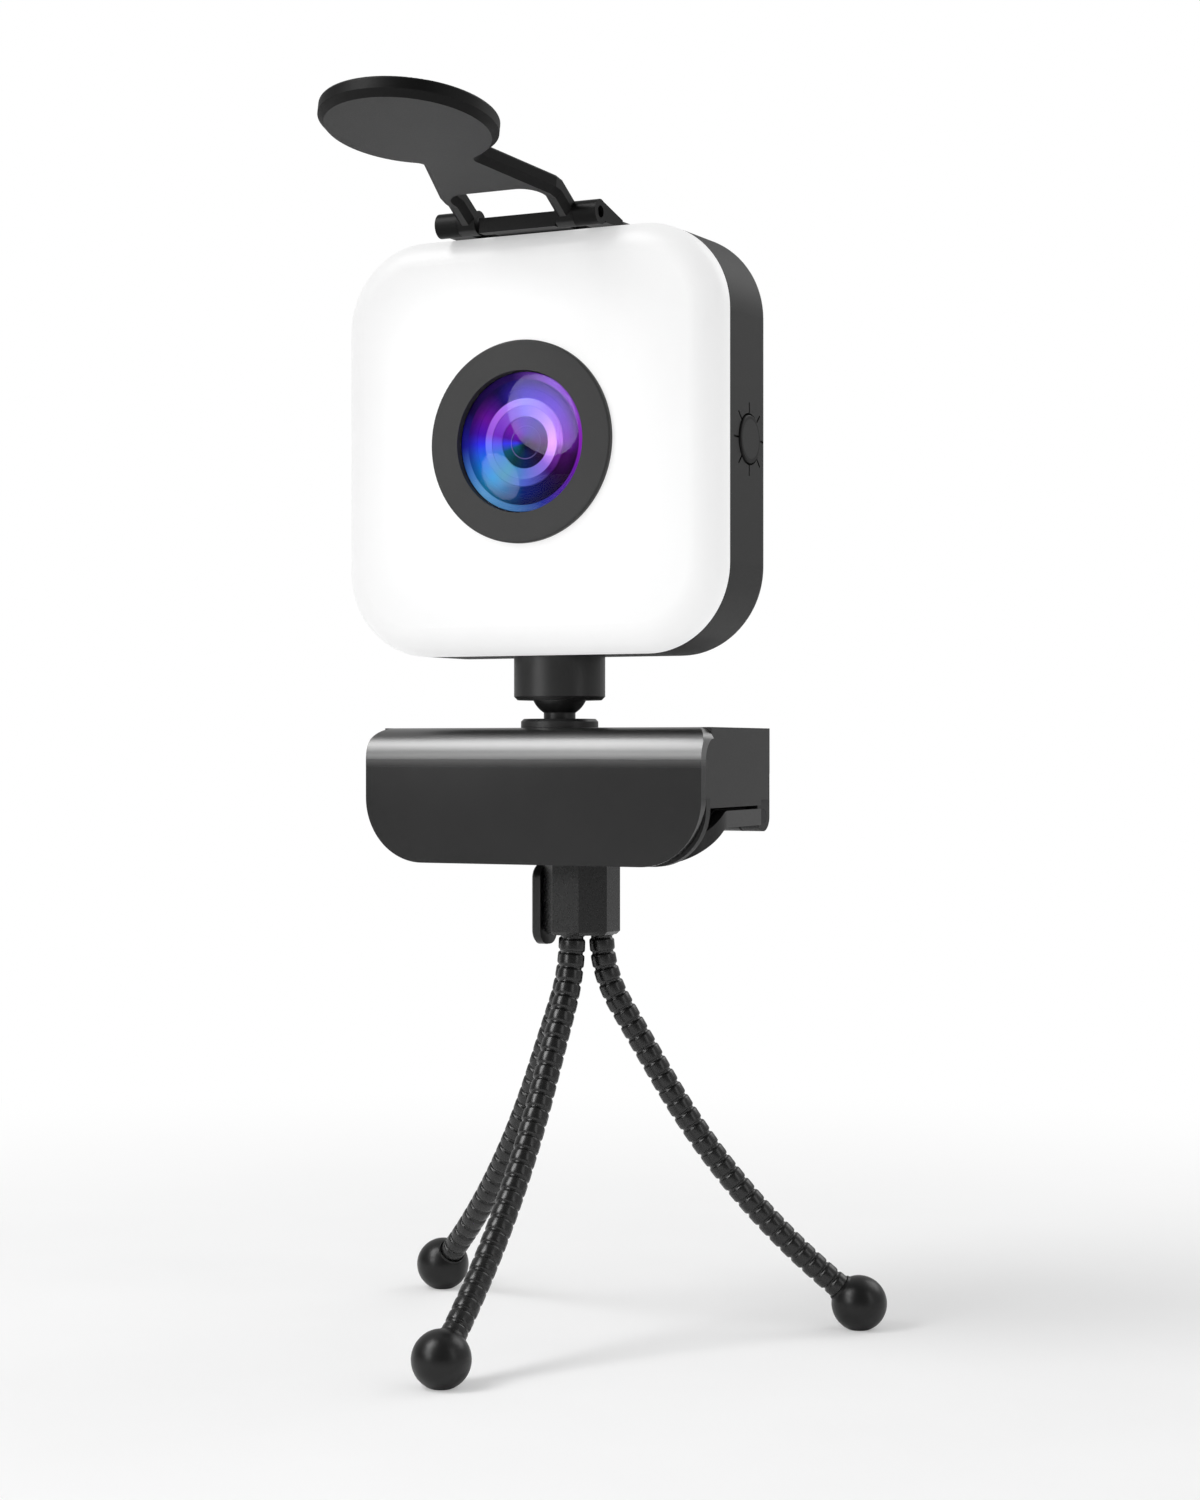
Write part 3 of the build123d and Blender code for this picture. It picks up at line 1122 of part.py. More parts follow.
# Legs: ribbed tubes over a bendable core. A leg leaves the hub straight down, splays twice and
# ends straight in its foot. It is drawn in the XZ plane and turned to its place.
BEND_1 = (LEG_ROOT_R, HUB_BOTTOM - LEG_TOP_RUN)
BEND_2 = (
    LEG_ROOT_R + BEND_OUT * (STANCE_R - LEG_ROOT_R),
    FOOT_Z + BEND_UP * (BEND_1[1] - FOOT_Z),
)
TOP_SPLAY = atan2(BEND_2[0] - BEND_1[0], BEND_1[1] - BEND_2[1])
FOOT_SPLAY = atan2(STANCE_R - BEND_2[0], BEND_2[1] - FOOT_Z)
LAST_RUN = (BEND_2[1] - FOOT_Z) / cos(FOOT_SPLAY)
RADIUS_1 = LEG_TOP_RUN / tan(TOP_SPLAY / 2)
RADIUS_2 = (LAST_RUN - FOOT_RUN) / tan((FOOT_SPLAY - TOP_SPLAY) / 2)
LEG_END = (
    STANCE_R - (FOOT_R - FOOT_GRIP) * sin(FOOT_SPLAY),
    FOOT_Z + (FOOT_R - FOOT_GRIP) * cos(FOOT_SPLAY),
)
with BuildLine(Plane.XZ) as leg_path:
    FilletPolyline(
        (LEG_ROOT_R, HUB_BOTTOM + LEG_SOCKET), BEND_1, BEND_2, LEG_END, radius=[RADIUS_1, RADIUS_2]
    )
LEG_WIRE = leg_path.wire()
LEG_L = LEG_WIRE.length
BEND_S = LEG_SOCKET + RADIUS_1 * TOP_SPLAY + BEND_RUN


def leg_plane(distance):
    """Plane square to the leg, this far along it, with a steady X axis."""
    share = distance / LEG_L
    return Plane(origin=LEG_WIRE @ share, x_dir=(0, 1, 0), z_dir=LEG_WIRE % share)


def ribbed_tube(start, end):
    """The leg's ribbed tube between two distances along it, with its bore."""
    count = round((end - start + RIB_GROOVE) / RIB_PITCH)
    pitch = (end - start + RIB_GROOVE) / count
    with BuildPart() as tube:
        for rib in range(count):
            foot = start + rib * pitch
            tip = foot + pitch - RIB_GROOVE
            for distance, radius in (
                (foot, LEG_R - GROOVE_DEPTH),
                (foot + RIB_RISE, LEG_R),
                (tip - RIB_RISE, LEG_R),
                (tip, LEG_R - GROOVE_DEPTH),
            ):
                with BuildSketch(leg_plane(distance)):
                    Circle(radius)
        loft(ruled=True)
        with BuildSketch(leg_plane(0)):
            Circle(BORE_R)
        sweep(path=LEG_WIRE, mode=Mode.SUBTRACT)
    return tube.part


def core_wire(start, end):
    """The leg's bendable core between two distances along it."""
    with BuildPart() as core:
        with BuildSketch(leg_plane(0)):
            Circle(CORE_R)
        sweep(path=LEG_WIRE)
        split(bisect_by=leg_plane(start), keep=Keep.TOP)
        split(bisect_by=leg_plane(end), keep=Keep.BOTTOM)
    return core.part


def ball_foot():
    """The ball under a leg, flat where it stands and bored for the leg's end."""
    with BuildPart() as foot:
        with Locations((STANCE_R, 0, FOOT_Z)):
            Sphere(FOOT_R)
        with BuildSketch(Plane.XY):
            with Locations((STANCE_R, 0)):
                Rectangle(2 * FOOT_R, 2 * FOOT_R)
        extrude(amount=-FOOT_R, mode=Mode.SUBTRACT)
        with BuildSketch(leg_plane(LEG_L)):
            Circle(LEG_R + FIT)
        extrude(amount=-2 * FOOT_R, mode=Mode.SUBTRACT)
    return foot.part


LEG_PIECES = {
    "leg_root": ribbed_tube(0, BEND_S - BEND_GAP / 2),
    "leg": ribbed_tube(BEND_S + BEND_GAP / 2, LEG_L),
    "leg_core_root": core_wire(FIT, BEND_S - BEND_GAP / 2),
    "leg_core": core_wire(BEND_S + BEND_GAP / 2, LEG_L - FIT),
    "foot": ball_foot(),
}
for side, turn in LEG_TURNS.items():
    for piece, shape in LEG_PIECES.items():
        with BuildPart() as placed:
            with Locations(Location((0, HUB_Y, 0), (0, 0, turn))):
                add(shape)
        save(placed, f"{piece}_{side}")

# Joint places, for whoever drives the model
BEND_POINT = LEG_WIRE @ (BEND_S / LEG_L)
print("hub", HUB_Y, "lock", -HUB_R - GAP, LOCK_Z)
print("leg bend", BEND_POINT.X, BEND_POINT.Z, "foot", STANCE_R, FOOT_Z)
print("jaw", JAW_AXIS_Y, JAW_AXIS_Z, "ball", NECK_Y, BALL_Z)
print("cover", COVER_AXIS_Y, COVER_AXIS_Z, "button", HEAD_W / 2, FRONT_Y + BUTTON_DEPTH, HEAD_Z)
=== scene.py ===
import json
import math

import bmesh
import bpy
from mathutils import Matrix, Quaternion, Vector


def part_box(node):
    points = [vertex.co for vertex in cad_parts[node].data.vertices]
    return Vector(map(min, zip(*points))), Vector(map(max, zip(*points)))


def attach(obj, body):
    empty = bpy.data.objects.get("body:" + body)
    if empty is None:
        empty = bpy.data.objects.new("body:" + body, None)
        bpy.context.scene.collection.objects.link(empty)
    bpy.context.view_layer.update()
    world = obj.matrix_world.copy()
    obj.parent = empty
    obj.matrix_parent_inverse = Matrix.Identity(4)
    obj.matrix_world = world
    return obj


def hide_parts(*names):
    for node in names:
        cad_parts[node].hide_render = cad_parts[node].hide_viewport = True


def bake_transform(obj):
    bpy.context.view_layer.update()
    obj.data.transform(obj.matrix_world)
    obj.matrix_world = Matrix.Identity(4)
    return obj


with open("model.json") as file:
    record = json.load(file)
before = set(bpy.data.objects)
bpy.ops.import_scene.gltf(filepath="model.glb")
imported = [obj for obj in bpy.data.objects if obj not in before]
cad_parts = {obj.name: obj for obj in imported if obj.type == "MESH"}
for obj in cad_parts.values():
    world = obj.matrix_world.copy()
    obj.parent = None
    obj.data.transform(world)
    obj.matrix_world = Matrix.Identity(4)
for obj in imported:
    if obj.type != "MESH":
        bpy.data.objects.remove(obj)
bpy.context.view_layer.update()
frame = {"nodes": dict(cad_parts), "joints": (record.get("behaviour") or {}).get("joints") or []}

# Ball feet: soft rubber balls moulded over the ends of the legs.
# Each stands on a small flat and has a rolled lip where the leg goes in.
MM = 0.001
LEG_TURNS = {"front": -90.0, "right": 30.0, "left": 150.0}
LEG_R = 1.85 * MM
FOOT_R = 4.1 * MM
FOOT_SEGMENTS = 64
FOOT_RINGS = 40
FOOT_LEAN = math.radians(50)
FOOT_SMOOTH = 40
MOUTH_R = 2.15 * MM
MOUTH_DRAW = 0.05 * MM
LIP_R = LEG_R + 0.2 * MM
LIP_MIDDLE = 0.21 * MM
LIP_TOP = 0.35 * MM
BORE_R = LEG_R + 0.05 * MM
BORE_TOP = 0.2 * MM
BORE_END = -1.8 * MM
FLAT_MARGIN = 0.001 * MM
MOTTLE_SCALE = 90.0
MOTTLE_DARK = 0.82
FINE_DETAIL = 3.0
SHEEN_SPREAD = 0.1
# Near black of the painted shade in grooves and on edges
PAINTED_SHADE_TONE = "#060606"
foot_low, foot_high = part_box("foot_right")
hub_low, hub_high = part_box("tripod_hub")
HUB = Vector(((hub_low.x + hub_high.x) / 2, (hub_low.y + hub_high.y) / 2, 0))
foot_centre = Vector(((foot_low.x + foot_high.x) / 2, (foot_low.y + foot_high.y) / 2, foot_high.z - FOOT_R))
STANCE_R = (foot_centre - HUB).xy.length


def fresh():
    """Deselect everything, so that an operator acts on the new piece alone."""
    bpy.ops.object.select_all(action="DESELECT")


def pick(kind, test):
    """In edit mode, select the edges or faces of the piece in hand that pass the test."""
    bpy.ops.mesh.select_mode(type=kind)
    bpy.ops.mesh.select_all(action="DESELECT")
    mesh = bmesh.from_edit_mesh(bpy.context.object.data)
    for item in {"EDGE": mesh.edges, "FACE": mesh.faces}[kind]:
        item.select_set(bool(test(item)))
    mesh.select_flush_mode()
    bmesh.update_edit_mesh(bpy.context.object.data)


def draw_out(profile):
    """Extrude the selected ring along Z through (radius, height) steps; the first is where it already is."""
    for (radius, height), (new_radius, new_height) in zip(profile, profile[1:]):
        bpy.ops.mesh.extrude_region_move(TRANSFORM_OT_translate={"value": (0, 0, new_height - height)})
        share = new_radius / radius
        bpy.ops.transform.resize(value=(share, share, 1), center_override=(0, 0, 0))


def face_out():
    """In edit mode, turn every face of the piece in hand outwards."""
    bpy.ops.mesh.select_all(action="SELECT")
    bpy.ops.mesh.normals_make_consistent(inside=False)


def settle(name, angle):
    """Leave edit mode, put the piece's place into its mesh and shade it smooth up to this angle."""
    bpy.ops.object.mode_set(mode="OBJECT")
    piece = bpy.context.object
    piece.name = name
    piece.data.name = name
    bpy.ops.object.transform_apply(location=True, rotation=True, scale=True)
    bpy.ops.object.shade_smooth_by_angle(angle=math.radians(angle))
    return piece


def copy_round(piece, name, turn):
    """A copy of the piece with its own mesh, turned about the hub's axis."""
    twin = piece.copy()
    twin.data = piece.data.copy()
    twin.name = name
    twin.data.name = name
    bpy.context.collection.objects.link(twin)
    spin = Matrix.Rotation(math.radians(turn), 4, "Z")
    twin.data.transform(Matrix.Translation(HUB) @ spin)
    return twin


def colour(code):
    """A colour written as six hex digits, as the linear values that a shader takes."""
    parts = [int(code[i : i + 2], 16) / 255 for i in (1, 3, 5)]
    linear = [p / 12.92 if p <= 0.04045 else ((p + 0.055) / 1.055) ** 2.4 for p in parts]
    return (*linear, 1.0)


def dimmed(tone, share):
    """This share of a colour's brightness."""
    return (*(share * part for part in tone[:3]), 1.0)


class Shade:
    """An output of a material's nodes. Arithmetic on it adds Math nodes, so a pattern reads as a sum."""

    def __init__(self, finish, socket):
        self.finish = finish
        self.socket = socket

    def math(self, operation, *others):
        return self.finish.node("ShaderNodeMath", {"operation": operation}, dict(enumerate((self, *others))))

    def __add__(self, other):
        return self.math("ADD", other)

    __radd__ = __add__

    def __sub__(self, other):
        return self.math("SUBTRACT", other)

    def __rsub__(self, other):
        return self.finish.node("ShaderNodeMath", {"operation": "SUBTRACT"}, {0: other, 1: self})

    def __mul__(self, other):
        return self.math("MULTIPLY", other)

    __rmul__ = __mul__

    def __truediv__(self, other):
        return self.math("DIVIDE", other)

    def __pow__(self, other):
        return self.math("POWER", other)

    def between(self, low, high):
        """0 below the low value, 1 above the high one, smooth between them."""
        return self.finish.node(
            "ShaderNodeMapRange", {"interpolation_type": "SMOOTHSTEP"}, {"Value": self, 1: low, 2: high}
        )


class Finish:
    """A material and its nodes, round one Principled shader."""

    def __init__(self, name, sockets):
        self.material = bpy.data.materials.new(name)
        self.material.use_nodes = True
        self.tree = self.material.node_tree
        self.surface = self.tree.nodes["Principled BSDF"]
        self.set(sockets)

    def set(self, sockets):
        for key, value in sockets.items():
            self.plug(self.surface.inputs[key], value)

    def plug(self, socket, value):
        if isinstance(value, Shade):
            self.tree.links.new(value.socket, socket)
        else:
            socket.default_value = value

    def node(self, kind, settings=None, inputs=None, output=0):
        """Add a node: its settings first, then the values or links of its sockets."""
        made = self.tree.nodes.new(kind)
        for key, value in (settings or {}).items():
            if key == "stops":
                ramp = made.color_ramp.elements
                while len(ramp) < len(value):
                    ramp.new(1.0)
                for element, (place, tone) in zip(ramp, value):
                    element.position = place
                    element.color = tone
            else:
                setattr(made, key, value)
        for key, value in (inputs or {}).items():
            self.plug(made.inputs[key], value)
        return Shade(self, made.outputs[output])

    def show(self, shader):
        """Show this shader in place of the Principled one."""
        self.tree.links.new(shader.socket, self.tree.nodes["Material Output"].inputs["Surface"])

    def place(self):
        return self.node("ShaderNodeTexCoord", output="Object")

    def axis(self, name, start):
        """X, Y or Z of a place on the piece, measured from this start."""
        moved = self.node(
            "ShaderNodeMapping", {"vector_type": "TEXTURE"}, {"Vector": self.place(), "Location": start}
        )
        return self.node("ShaderNodeSeparateXYZ", inputs={0: moved}, output=name)

    def noise(self, scale, detail=2.0):
        inputs = {"Vector": self.place(), "Scale": scale, "Detail": detail}
        return self.node("ShaderNodeTexNoise", inputs=inputs)

    def mix(self, share, first, second):
        return self.node("ShaderNodeMix", {"data_type": "RGBA"}, {0: share, 6: first, 7: second}, output=2)

    def bump(self, height, depth):
        """Raise the surface by the height, from 0 to 1, times this depth in metres."""
        inputs = {"Height": height, "Distance": depth, "Strength": 1.0}
        self.set({"Normal": self.node("ShaderNodeBump", inputs=inputs, output="Normal")})


def moulded(name, code, roughness, grain, depth, specular=0.5, painted_shade=None):
    """Moulded plastic or rubber: a faint mottle in the colour, uneven sheen and the mould's fine grain.

    Where it has painted shade, a function gives its share from place to place, and near black is mixed into
    the colour there.
    """
    made = Finish(name, {"Specular IOR Level": specular})
    tone = colour(code)
    base = made.mix(made.noise(MOTTLE_SCALE, FINE_DETAIL), dimmed(tone, MOTTLE_DARK), tone)
    # Painted shade: near black mixed into the colour wherever the function asks for it
    made.set({"Base Color": made.mix(painted_shade(made), base, colour(PAINTED_SHADE_TONE)) if painted_shade else base})
    fine = made.noise(1 / grain)
    made.set({"Roughness": fine * SHEEN_SPREAD + (roughness - SHEEN_SPREAD / 2)})
    made.bump(fine, depth)
    return made.material


def paint(material, *pieces):
    """Give a finish to pieces, or to CAD nodes by name."""
    for piece in pieces:
        target = frame["nodes"][piece] if isinstance(piece, str) else piece
        target.data.materials.clear()
        target.data.materials.append(material)


fresh()
bpy.ops.mesh.primitive_uv_sphere_add(
    segments=FOOT_SEGMENTS, ring_count=FOOT_RINGS, radius=FOOT_R, enter_editmode=True
)
pick("FACE", lambda f: f.calc_center_median().z > 0 and f.calc_center_median().xy.length < MOUTH_R)
bpy.ops.mesh.delete(type="FACE")
pick("EDGE", lambda e: e.is_boundary)
mouth_r = max(v.co.xy.length for v in bmesh.from_edit_mesh(bpy.context.object.data).verts if v.select)
draw_out([
    (mouth_r, 0.0),
    (mouth_r - MOUTH_DRAW, LIP_MIDDLE),
    (LIP_R, LIP_TOP),
    (BORE_R, BORE_TOP),
    (BORE_R, BORE_END),
])
face_out()
ball = settle("foot", FOOT_SMOOTH)
ball.data.transform(Matrix.Translation((STANCE_R, 0, foot_centre.z)) @ Matrix.Rotation(-FOOT_LEAN, 4, "Y"))
bpy.ops.object.mode_set(mode="EDIT")
bpy.ops.mesh.select_all(action="SELECT")
bpy.ops.mesh.bisect(
    plane_co=(0, 0, 0), plane_no=(0, 0, -1), clear_outer=True, use_fill=True, threshold=FLAT_MARGIN
)
bpy.ops.object.mode_set(mode="OBJECT")
foot_rubber = moulded(
    "foot_rubber", "#101010", roughness=0.34, grain=0.25 * MM, depth=0.01 * MM, specular=0.4
)
for side, turn in LEG_TURNS.items():
    foot = copy_round(ball, f"ball_foot_{side}", turn)
    paint(foot_rubber, foot)
    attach(foot, f"{side}_leg")
    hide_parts(f"foot_{side}")
bpy.data.objects.remove(ball)

# Legs: a black ribbed sleeve over a bendable aluminium wire, glued into the hub's sockets.
# One rib is turned, repeated along the leg and bent to the curve that the leg takes.
RIB_PITCH = 2.2 * MM
GROOVE = 0.28 * MM
SHOULDER_LOW = 0.10 * MM
SHOULDER_HIGH = 0.03 * MM
RIB_SMOOTH = 60
RIB_MERGE = 0.02 * MM
LEG_SIDES = 40
LEG_LINE_STEPS = 40
LEG_ROOT_R = 2.9 * MM
LEG_SOCKET = 4.0 * MM
LEG_TOP_RUN = 5.5 * MM
FOOT_RUN = 4.5 * MM
FOOT_INSET = 1.0 * MM
BEND_OUT = 0.5063
BEND_UP = 0.3207
BLEND_REACH = 6.0 * MM
DOWN = Vector((0, 0, -1))


def bezier(points):
    """A bent line through (place, way in, way out) points, each way as long as its handle."""
    curve = bpy.data.curves.new("leg_line", "CURVE")
    curve.dimensions = "3D"
    curve.resolution_u = LEG_LINE_STEPS
    spline = curve.splines.new("BEZIER")
    spline.bezier_points.add(len(points) - 1)
    for knot, (place, way_in, way_out) in zip(spline.bezier_points, points):
        knot.handle_left_type = "FREE"
        knot.handle_right_type = "FREE"
        knot.co = place
        knot.handle_left = place - way_in
        knot.handle_right = place + way_out
    line = bpy.data.objects.new("leg_line", curve)
    bpy.context.collection.objects.link(line)
    return line, spline.calc_length()


def arc_handle(tangent, first, second):
    """Handle length that bends a Bezier like the arc between two straight ways."""
    turn = first.angle(second)
    return 4 / 3 * math.tan(turn / 4) * tangent / math.tan(turn / 2)


bend_1 = Vector((LEG_ROOT_R, 0, hub_low.z - LEG_TOP_RUN))
foot_point = Vector((STANCE_R, 0, foot_centre.z))
bend_2 = Vector((
    LEG_ROOT_R + BEND_OUT * (STANCE_R - LEG_ROOT_R),
    0,
    foot_point.z + BEND_UP * (bend_1.z - foot_point.z),
))
middle_way = (bend_2 - bend_1).normalized()
last_way = (foot_point - bend_2).normalized()
last_tangent = (foot_point - bend_2).length - FOOT_RUN
knots = [
    bend_1 - DOWN * (LEG_TOP_RUN + LEG_SOCKET),
    bend_1 - DOWN * LEG_TOP_RUN,
    bend_1 + middle_way * LEG_TOP_RUN,
    bend_2 - middle_way * last_tangent,
    bend_2 + last_way * last_tangent,
    foot_point - last_way * FOOT_INSET,
]
ways = [DOWN, DOWN, middle_way, middle_way, last_way, last_way]
top, middle, last = ((knots[i + 1] - knots[i]).length / 3 for i in (0, 2, 4))
top_arc = arc_handle(LEG_TOP_RUN, DOWN, middle_way)
last_arc = arc_handle(last_tangent, middle_way, last_way)
handles = [0, top, top_arc, middle, last_arc, last, 0]
leg_line, leg_length = bezier([
    (knot, way * way_in, way * way_out)
    for knot, way, way_in, way_out in zip(knots, ways, handles, handles[1:])
])
rib_count = round(leg_length / RIB_PITCH)
pitch = leg_length / rib_count
# How far each step of a rib lies below its top, and its place along the rib as a share of the pitch
rib = [
    (GROOVE, 0.0),
    (GROOVE, 0.06),
    (SHOULDER_LOW, 0.12),
    (SHOULDER_HIGH, 0.17),
    (0.0, 0.26),
    (0.0, 0.74),
    (SHOULDER_HIGH, 0.83),
    (SHOULDER_LOW, 0.88),
    (GROOVE, 0.94),
    (GROOVE, 1.0),
]
fresh()
bpy.ops.mesh.primitive_circle_add(vertices=LEG_SIDES, radius=LEG_R - GROOVE, enter_editmode=True)
draw_out([(LEG_R - inset, share * pitch) for inset, share in rib])
sleeve = settle("sleeve", RIB_SMOOTH)
sleeve.data.transform(Matrix.Rotation(math.radians(90), 4, "Y"))
array = sleeve.modifiers.new("Ribs", "ARRAY")
array.count = rib_count
array.use_relative_offset = False
array.use_constant_offset = True
array.constant_offset_displace = (pitch, 0, 0)
array.use_merge_vertices = True
array.merge_threshold = RIB_MERGE
bpy.ops.object.modifier_apply(modifier="Ribs")
bend = sleeve.modifiers.new("Bend", "CURVE")
bend.object = leg_line
bend.deform_axis = "POS_X"
bpy.ops.object.modifier_apply(modifier="Bend")
bpy.ops.object.mode_set(mode="EDIT")
face_out()
bpy.ops.object.mode_set(mode="OBJECT")
sleeve_black = moulded(
    "sleeve_black", "#121212", roughness=0.28, grain=0.3 * MM, depth=0.006 * MM, specular=0.55
)
joints = {joint["name"]: joint for joint in frame["joints"]}
for side, turn in LEG_TURNS.items():
    leg = copy_round(sleeve, f"ribbed_leg_{side}", turn)
    paint(sleeve_black, leg)
    bend_place = Vector(joints[f"{side}_leg_bend"]["pos_m"])
    reach = Matrix.Rotation(math.radians(turn), 3, "Z") @ middle_way * BLEND_REACH
    bend_place - reach
    bend_place + reach
    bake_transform(leg)
    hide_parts(f"leg_root_{side}", f"leg_{side}")
bpy.data.objects.remove(sleeve)
bpy.data.objects.remove(leg_line)

# Leg cores: soft aluminium wire inside the sleeves, which keeps the bend that a hand gives it.
# Drawn wire has faint lines along it and a dull oxide.
METAL_DARK = 0.8
METAL_SPREAD = 0.2
METAL_DEPTH = 0.002 * MM


def metal(name, code, roughness, grain):
    """Bare metal with a fine uneven sheen from rolling, drawing or turning."""
    made = Finish(name, {"Metallic": 1.0})
    fine = made.noise(1 / grain, FINE_DETAIL)
    tone = colour(code)
    made.set({
        "Base Color": made.mix(fine, dimmed(tone, METAL_DARK), tone),
        "Roughness": fine * METAL_SPREAD + (roughness - METAL_SPREAD / 2),
    })
    made.bump(fine, METAL_DEPTH)
    return made.material


wire = metal("wire", "#c4c4c2", roughness=0.4, grain=0.5 * MM)
for side in LEG_TURNS:
    paint(wire, f"leg_core_{side}", f"leg_core_root_{side}")

# Hub: an eight-sided block of black plastic that takes the three legs and the lock lever, under a cap.
# A steel screw holds the lever, and a rubber ring on the cap grips the clip that is screwed down on it.
hub_black = moulded("hub_black", "#161616", roughness=0.28, grain=0.35 * MM, depth=0.005 * MM)
paint(hub_black, "tripod_hub", "hub_cap")
lever_black = moulded(
    "lever_black", "#181818", roughness=0.34, grain=0.3 * MM, depth=0.006 * MM, specular=0.4
)
paint(lever_black, "lock_lever")
steel = metal("steel", "#b4b4b6", roughness=0.34, grain=0.3 * MM)
paint(steel, "lock_screw", "tripod_stud")
rubber = moulded("rubber", "#1c1c1c", roughness=0.75, grain=0.2 * MM, depth=0.02 * MM, specular=0.25)
paint(rubber, "hub_pad")

# Clip: a shell of matte black plastic with a screwed base plate, a brass thread for the tripod's stud
# and rubber pads, and under it the folding jaw on its steel pin, between black nylon washers.
matte_black = moulded(
    "matte_black", "#2e2e2e", roughness=0.52, grain=0.2 * MM, depth=0.012 * MM, specular=0.3
)
paint(matte_black, "clip_shell", "clip_base_plate")
jaw_black = moulded(
    "jaw_black", "#1a1a1a", roughness=0.34, grain=0.35 * MM, depth=0.005 * MM, specular=0.45
)
paint(jaw_black, "clip_jaw")
brass = metal("brass", "#d8b468", roughness=0.32, grain=0.25 * MM)
paint(brass, "thread_insert")
paint(rubber, "lip_pad", "jaw_pad", "hinge_washers")
paint(steel, "clip_base_screws")

# Front panel of the clip: a smooth satin black plate, bent back over the shell's top edge.
# Its sheen is a little uneven, as on a polished mould, and the bend itself is lacquered.
PANEL_TONES = ("#1a1a1a", "#1e1e1e")
PANEL_RIPPLE = 60.0
PANEL_GRAIN = 200.0
PANEL_ROUGHNESS = 0.17
PANEL_SPREAD = 0.03
BEND_ROUGHNESS = 0.14
BEND_FADE = (-6.0 * MM, -3.5 * MM)
panel_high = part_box("clip_front_panel")[1]
panel_black = Finish(
    "panel_black", {"Specular IOR Level": 0.55, "Coat IOR": 1.72, "Coat Roughness": 0.3}
)
bent = panel_black.axis("Z", panel_high).between(*BEND_FADE)
panel_black.set({
    "Base Color": panel_black.mix(panel_black.noise(PANEL_RIPPLE), *map(colour, PANEL_TONES)),
    "Roughness": panel_black.noise(PANEL_GRAIN) * PANEL_SPREAD + bent * BEND_ROUGHNESS + PANEL_ROUGHNESS,
    "Coat Weight": bent,
})
paint(panel_black.material, "clip_front_panel")

# Neck: a black ball stud screwed to the clip, in a socket under the head with a nylon liner.
# A steel ring keeps the ball in, and the collar outside is smooth black plastic.
neck_black = moulded("neck_black", "#202020", roughness=0.36, grain=0.3 * MM, depth=0.006 * MM)
paint(neck_black, "ball_stud", "neck_socket")
nylon = moulded("nylon", "#d8d6cf", roughness=0.5, grain=0.3 * MM, depth=0.01 * MM)
paint(nylon, "socket_liner")
paint(steel, "swivel_screw", "swivel_washer", "neck_ring")

# Rear housing: a matte black shell round the boards, with the light button and its rays on one side.
# The button's rim and the rays' grooves are darkened to near black as painted shade, and a rubber gland
# closes the cable's way out.
BUTTON_PROUD = 0.25 * MM
RIM_START = (2.75, 2.81)
RIM_END = (3.43, 3.45)
RAY_END = (5.25, 5.30)
RAY_FLOOR = (0.02, 0.06)
SHADE_REAR = (4.6, 4.7)
SHADE_DEPTH = (0.35, 0.40)
button_low, button_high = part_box("light_button")
button_face = (button_low + button_high) / 2
button_face.x = button_high.x - BUTTON_PROUD


def sun_mark_shade(finish):
    """Share of painted shade: 1 round the button's rim and in the rays' grooves, short of the rounded rear
    edge, and 0 elsewhere.
    """
    out, along, up = (finish.axis(name, button_face) / MM for name in "XYZ")
    depth = 0 - out
    reach = (along * along + up * up).math("SQRT")
    rim = reach.between(*RIM_START) * (1 - reach.between(*RIM_END))
    rays = depth.between(*RAY_FLOOR) * (1 - reach.between(*RAY_END)) * (1 - along.between(*SHADE_REAR))
    return rim.math("MAXIMUM", rays) * (1 - depth.between(*SHADE_DEPTH))


housing_black = moulded(
    "housing_black", "#2d2d2d", roughness=0.55, grain=0.2 * MM, depth=0.014 * MM, specular=0.3, painted_shade=sun_mark_shade
)
paint(housing_black, "rear_housing", "light_button")
paint(rubber, "cable_entry")

# Boards: a green one with the sensor, switch and microphone, and a white one with the light chips.
# Copper tracks show faintly through the lacquer.
TRACK_SCALE = 400.0
TRACK_WIDTH = 0.04
TRACK_SHIFT = 0.35
LACQUER_SCALE = 600.0
LACQUER_SPREAD = 0.1
LACQUER_ROUGHNESS = 0.3
BLACK = (0, 0, 0, 1)
WHITE = (1, 1, 1, 1)


def circuit(name, ground_code, track_code):
    """A lacquered circuit board, with tracks on a grid."""
    made = Finish(name, {"Specular IOR Level": 0.5})
    tracks = made.node(
        "ShaderNodeTexBrick",
        {"offset": TRACK_SHIFT},
        {
            "Vector": made.place(),
            "Color1": BLACK,
            "Color2": BLACK,
            "Mortar": WHITE,
            "Scale": TRACK_SCALE,
            "Mortar Size": TRACK_WIDTH,
        },
        output="Fac",
    )
    made.set({
        "Base Color": made.mix(tracks, colour(ground_code), colour(track_code)),
        "Roughness": made.noise(LACQUER_SCALE) * LACQUER_SPREAD + LACQUER_ROUGHNESS,
    })
    return made.material


paint(circuit("main_circuit", "#0d4a26", "#2c7a48"), "main_board")
paint(circuit("light_circuit", "#e8e8e2", "#cfcfc4"), "light_board")
chip_yellow = moulded("chip_yellow", "#f2dc8c", roughness=0.4, grain=0.3 * MM, depth=0.01 * MM)
paint(chip_yellow, "light_chips")
chip_black = moulded("chip_black", "#17171b", roughness=0.25, grain=0.4 * MM, depth=0.004 * MM)
paint(chip_black, "image_sensor", "button_switch", "microphone", "lens_holder")
paint(steel, "light_board_screws", "main_board_screws")

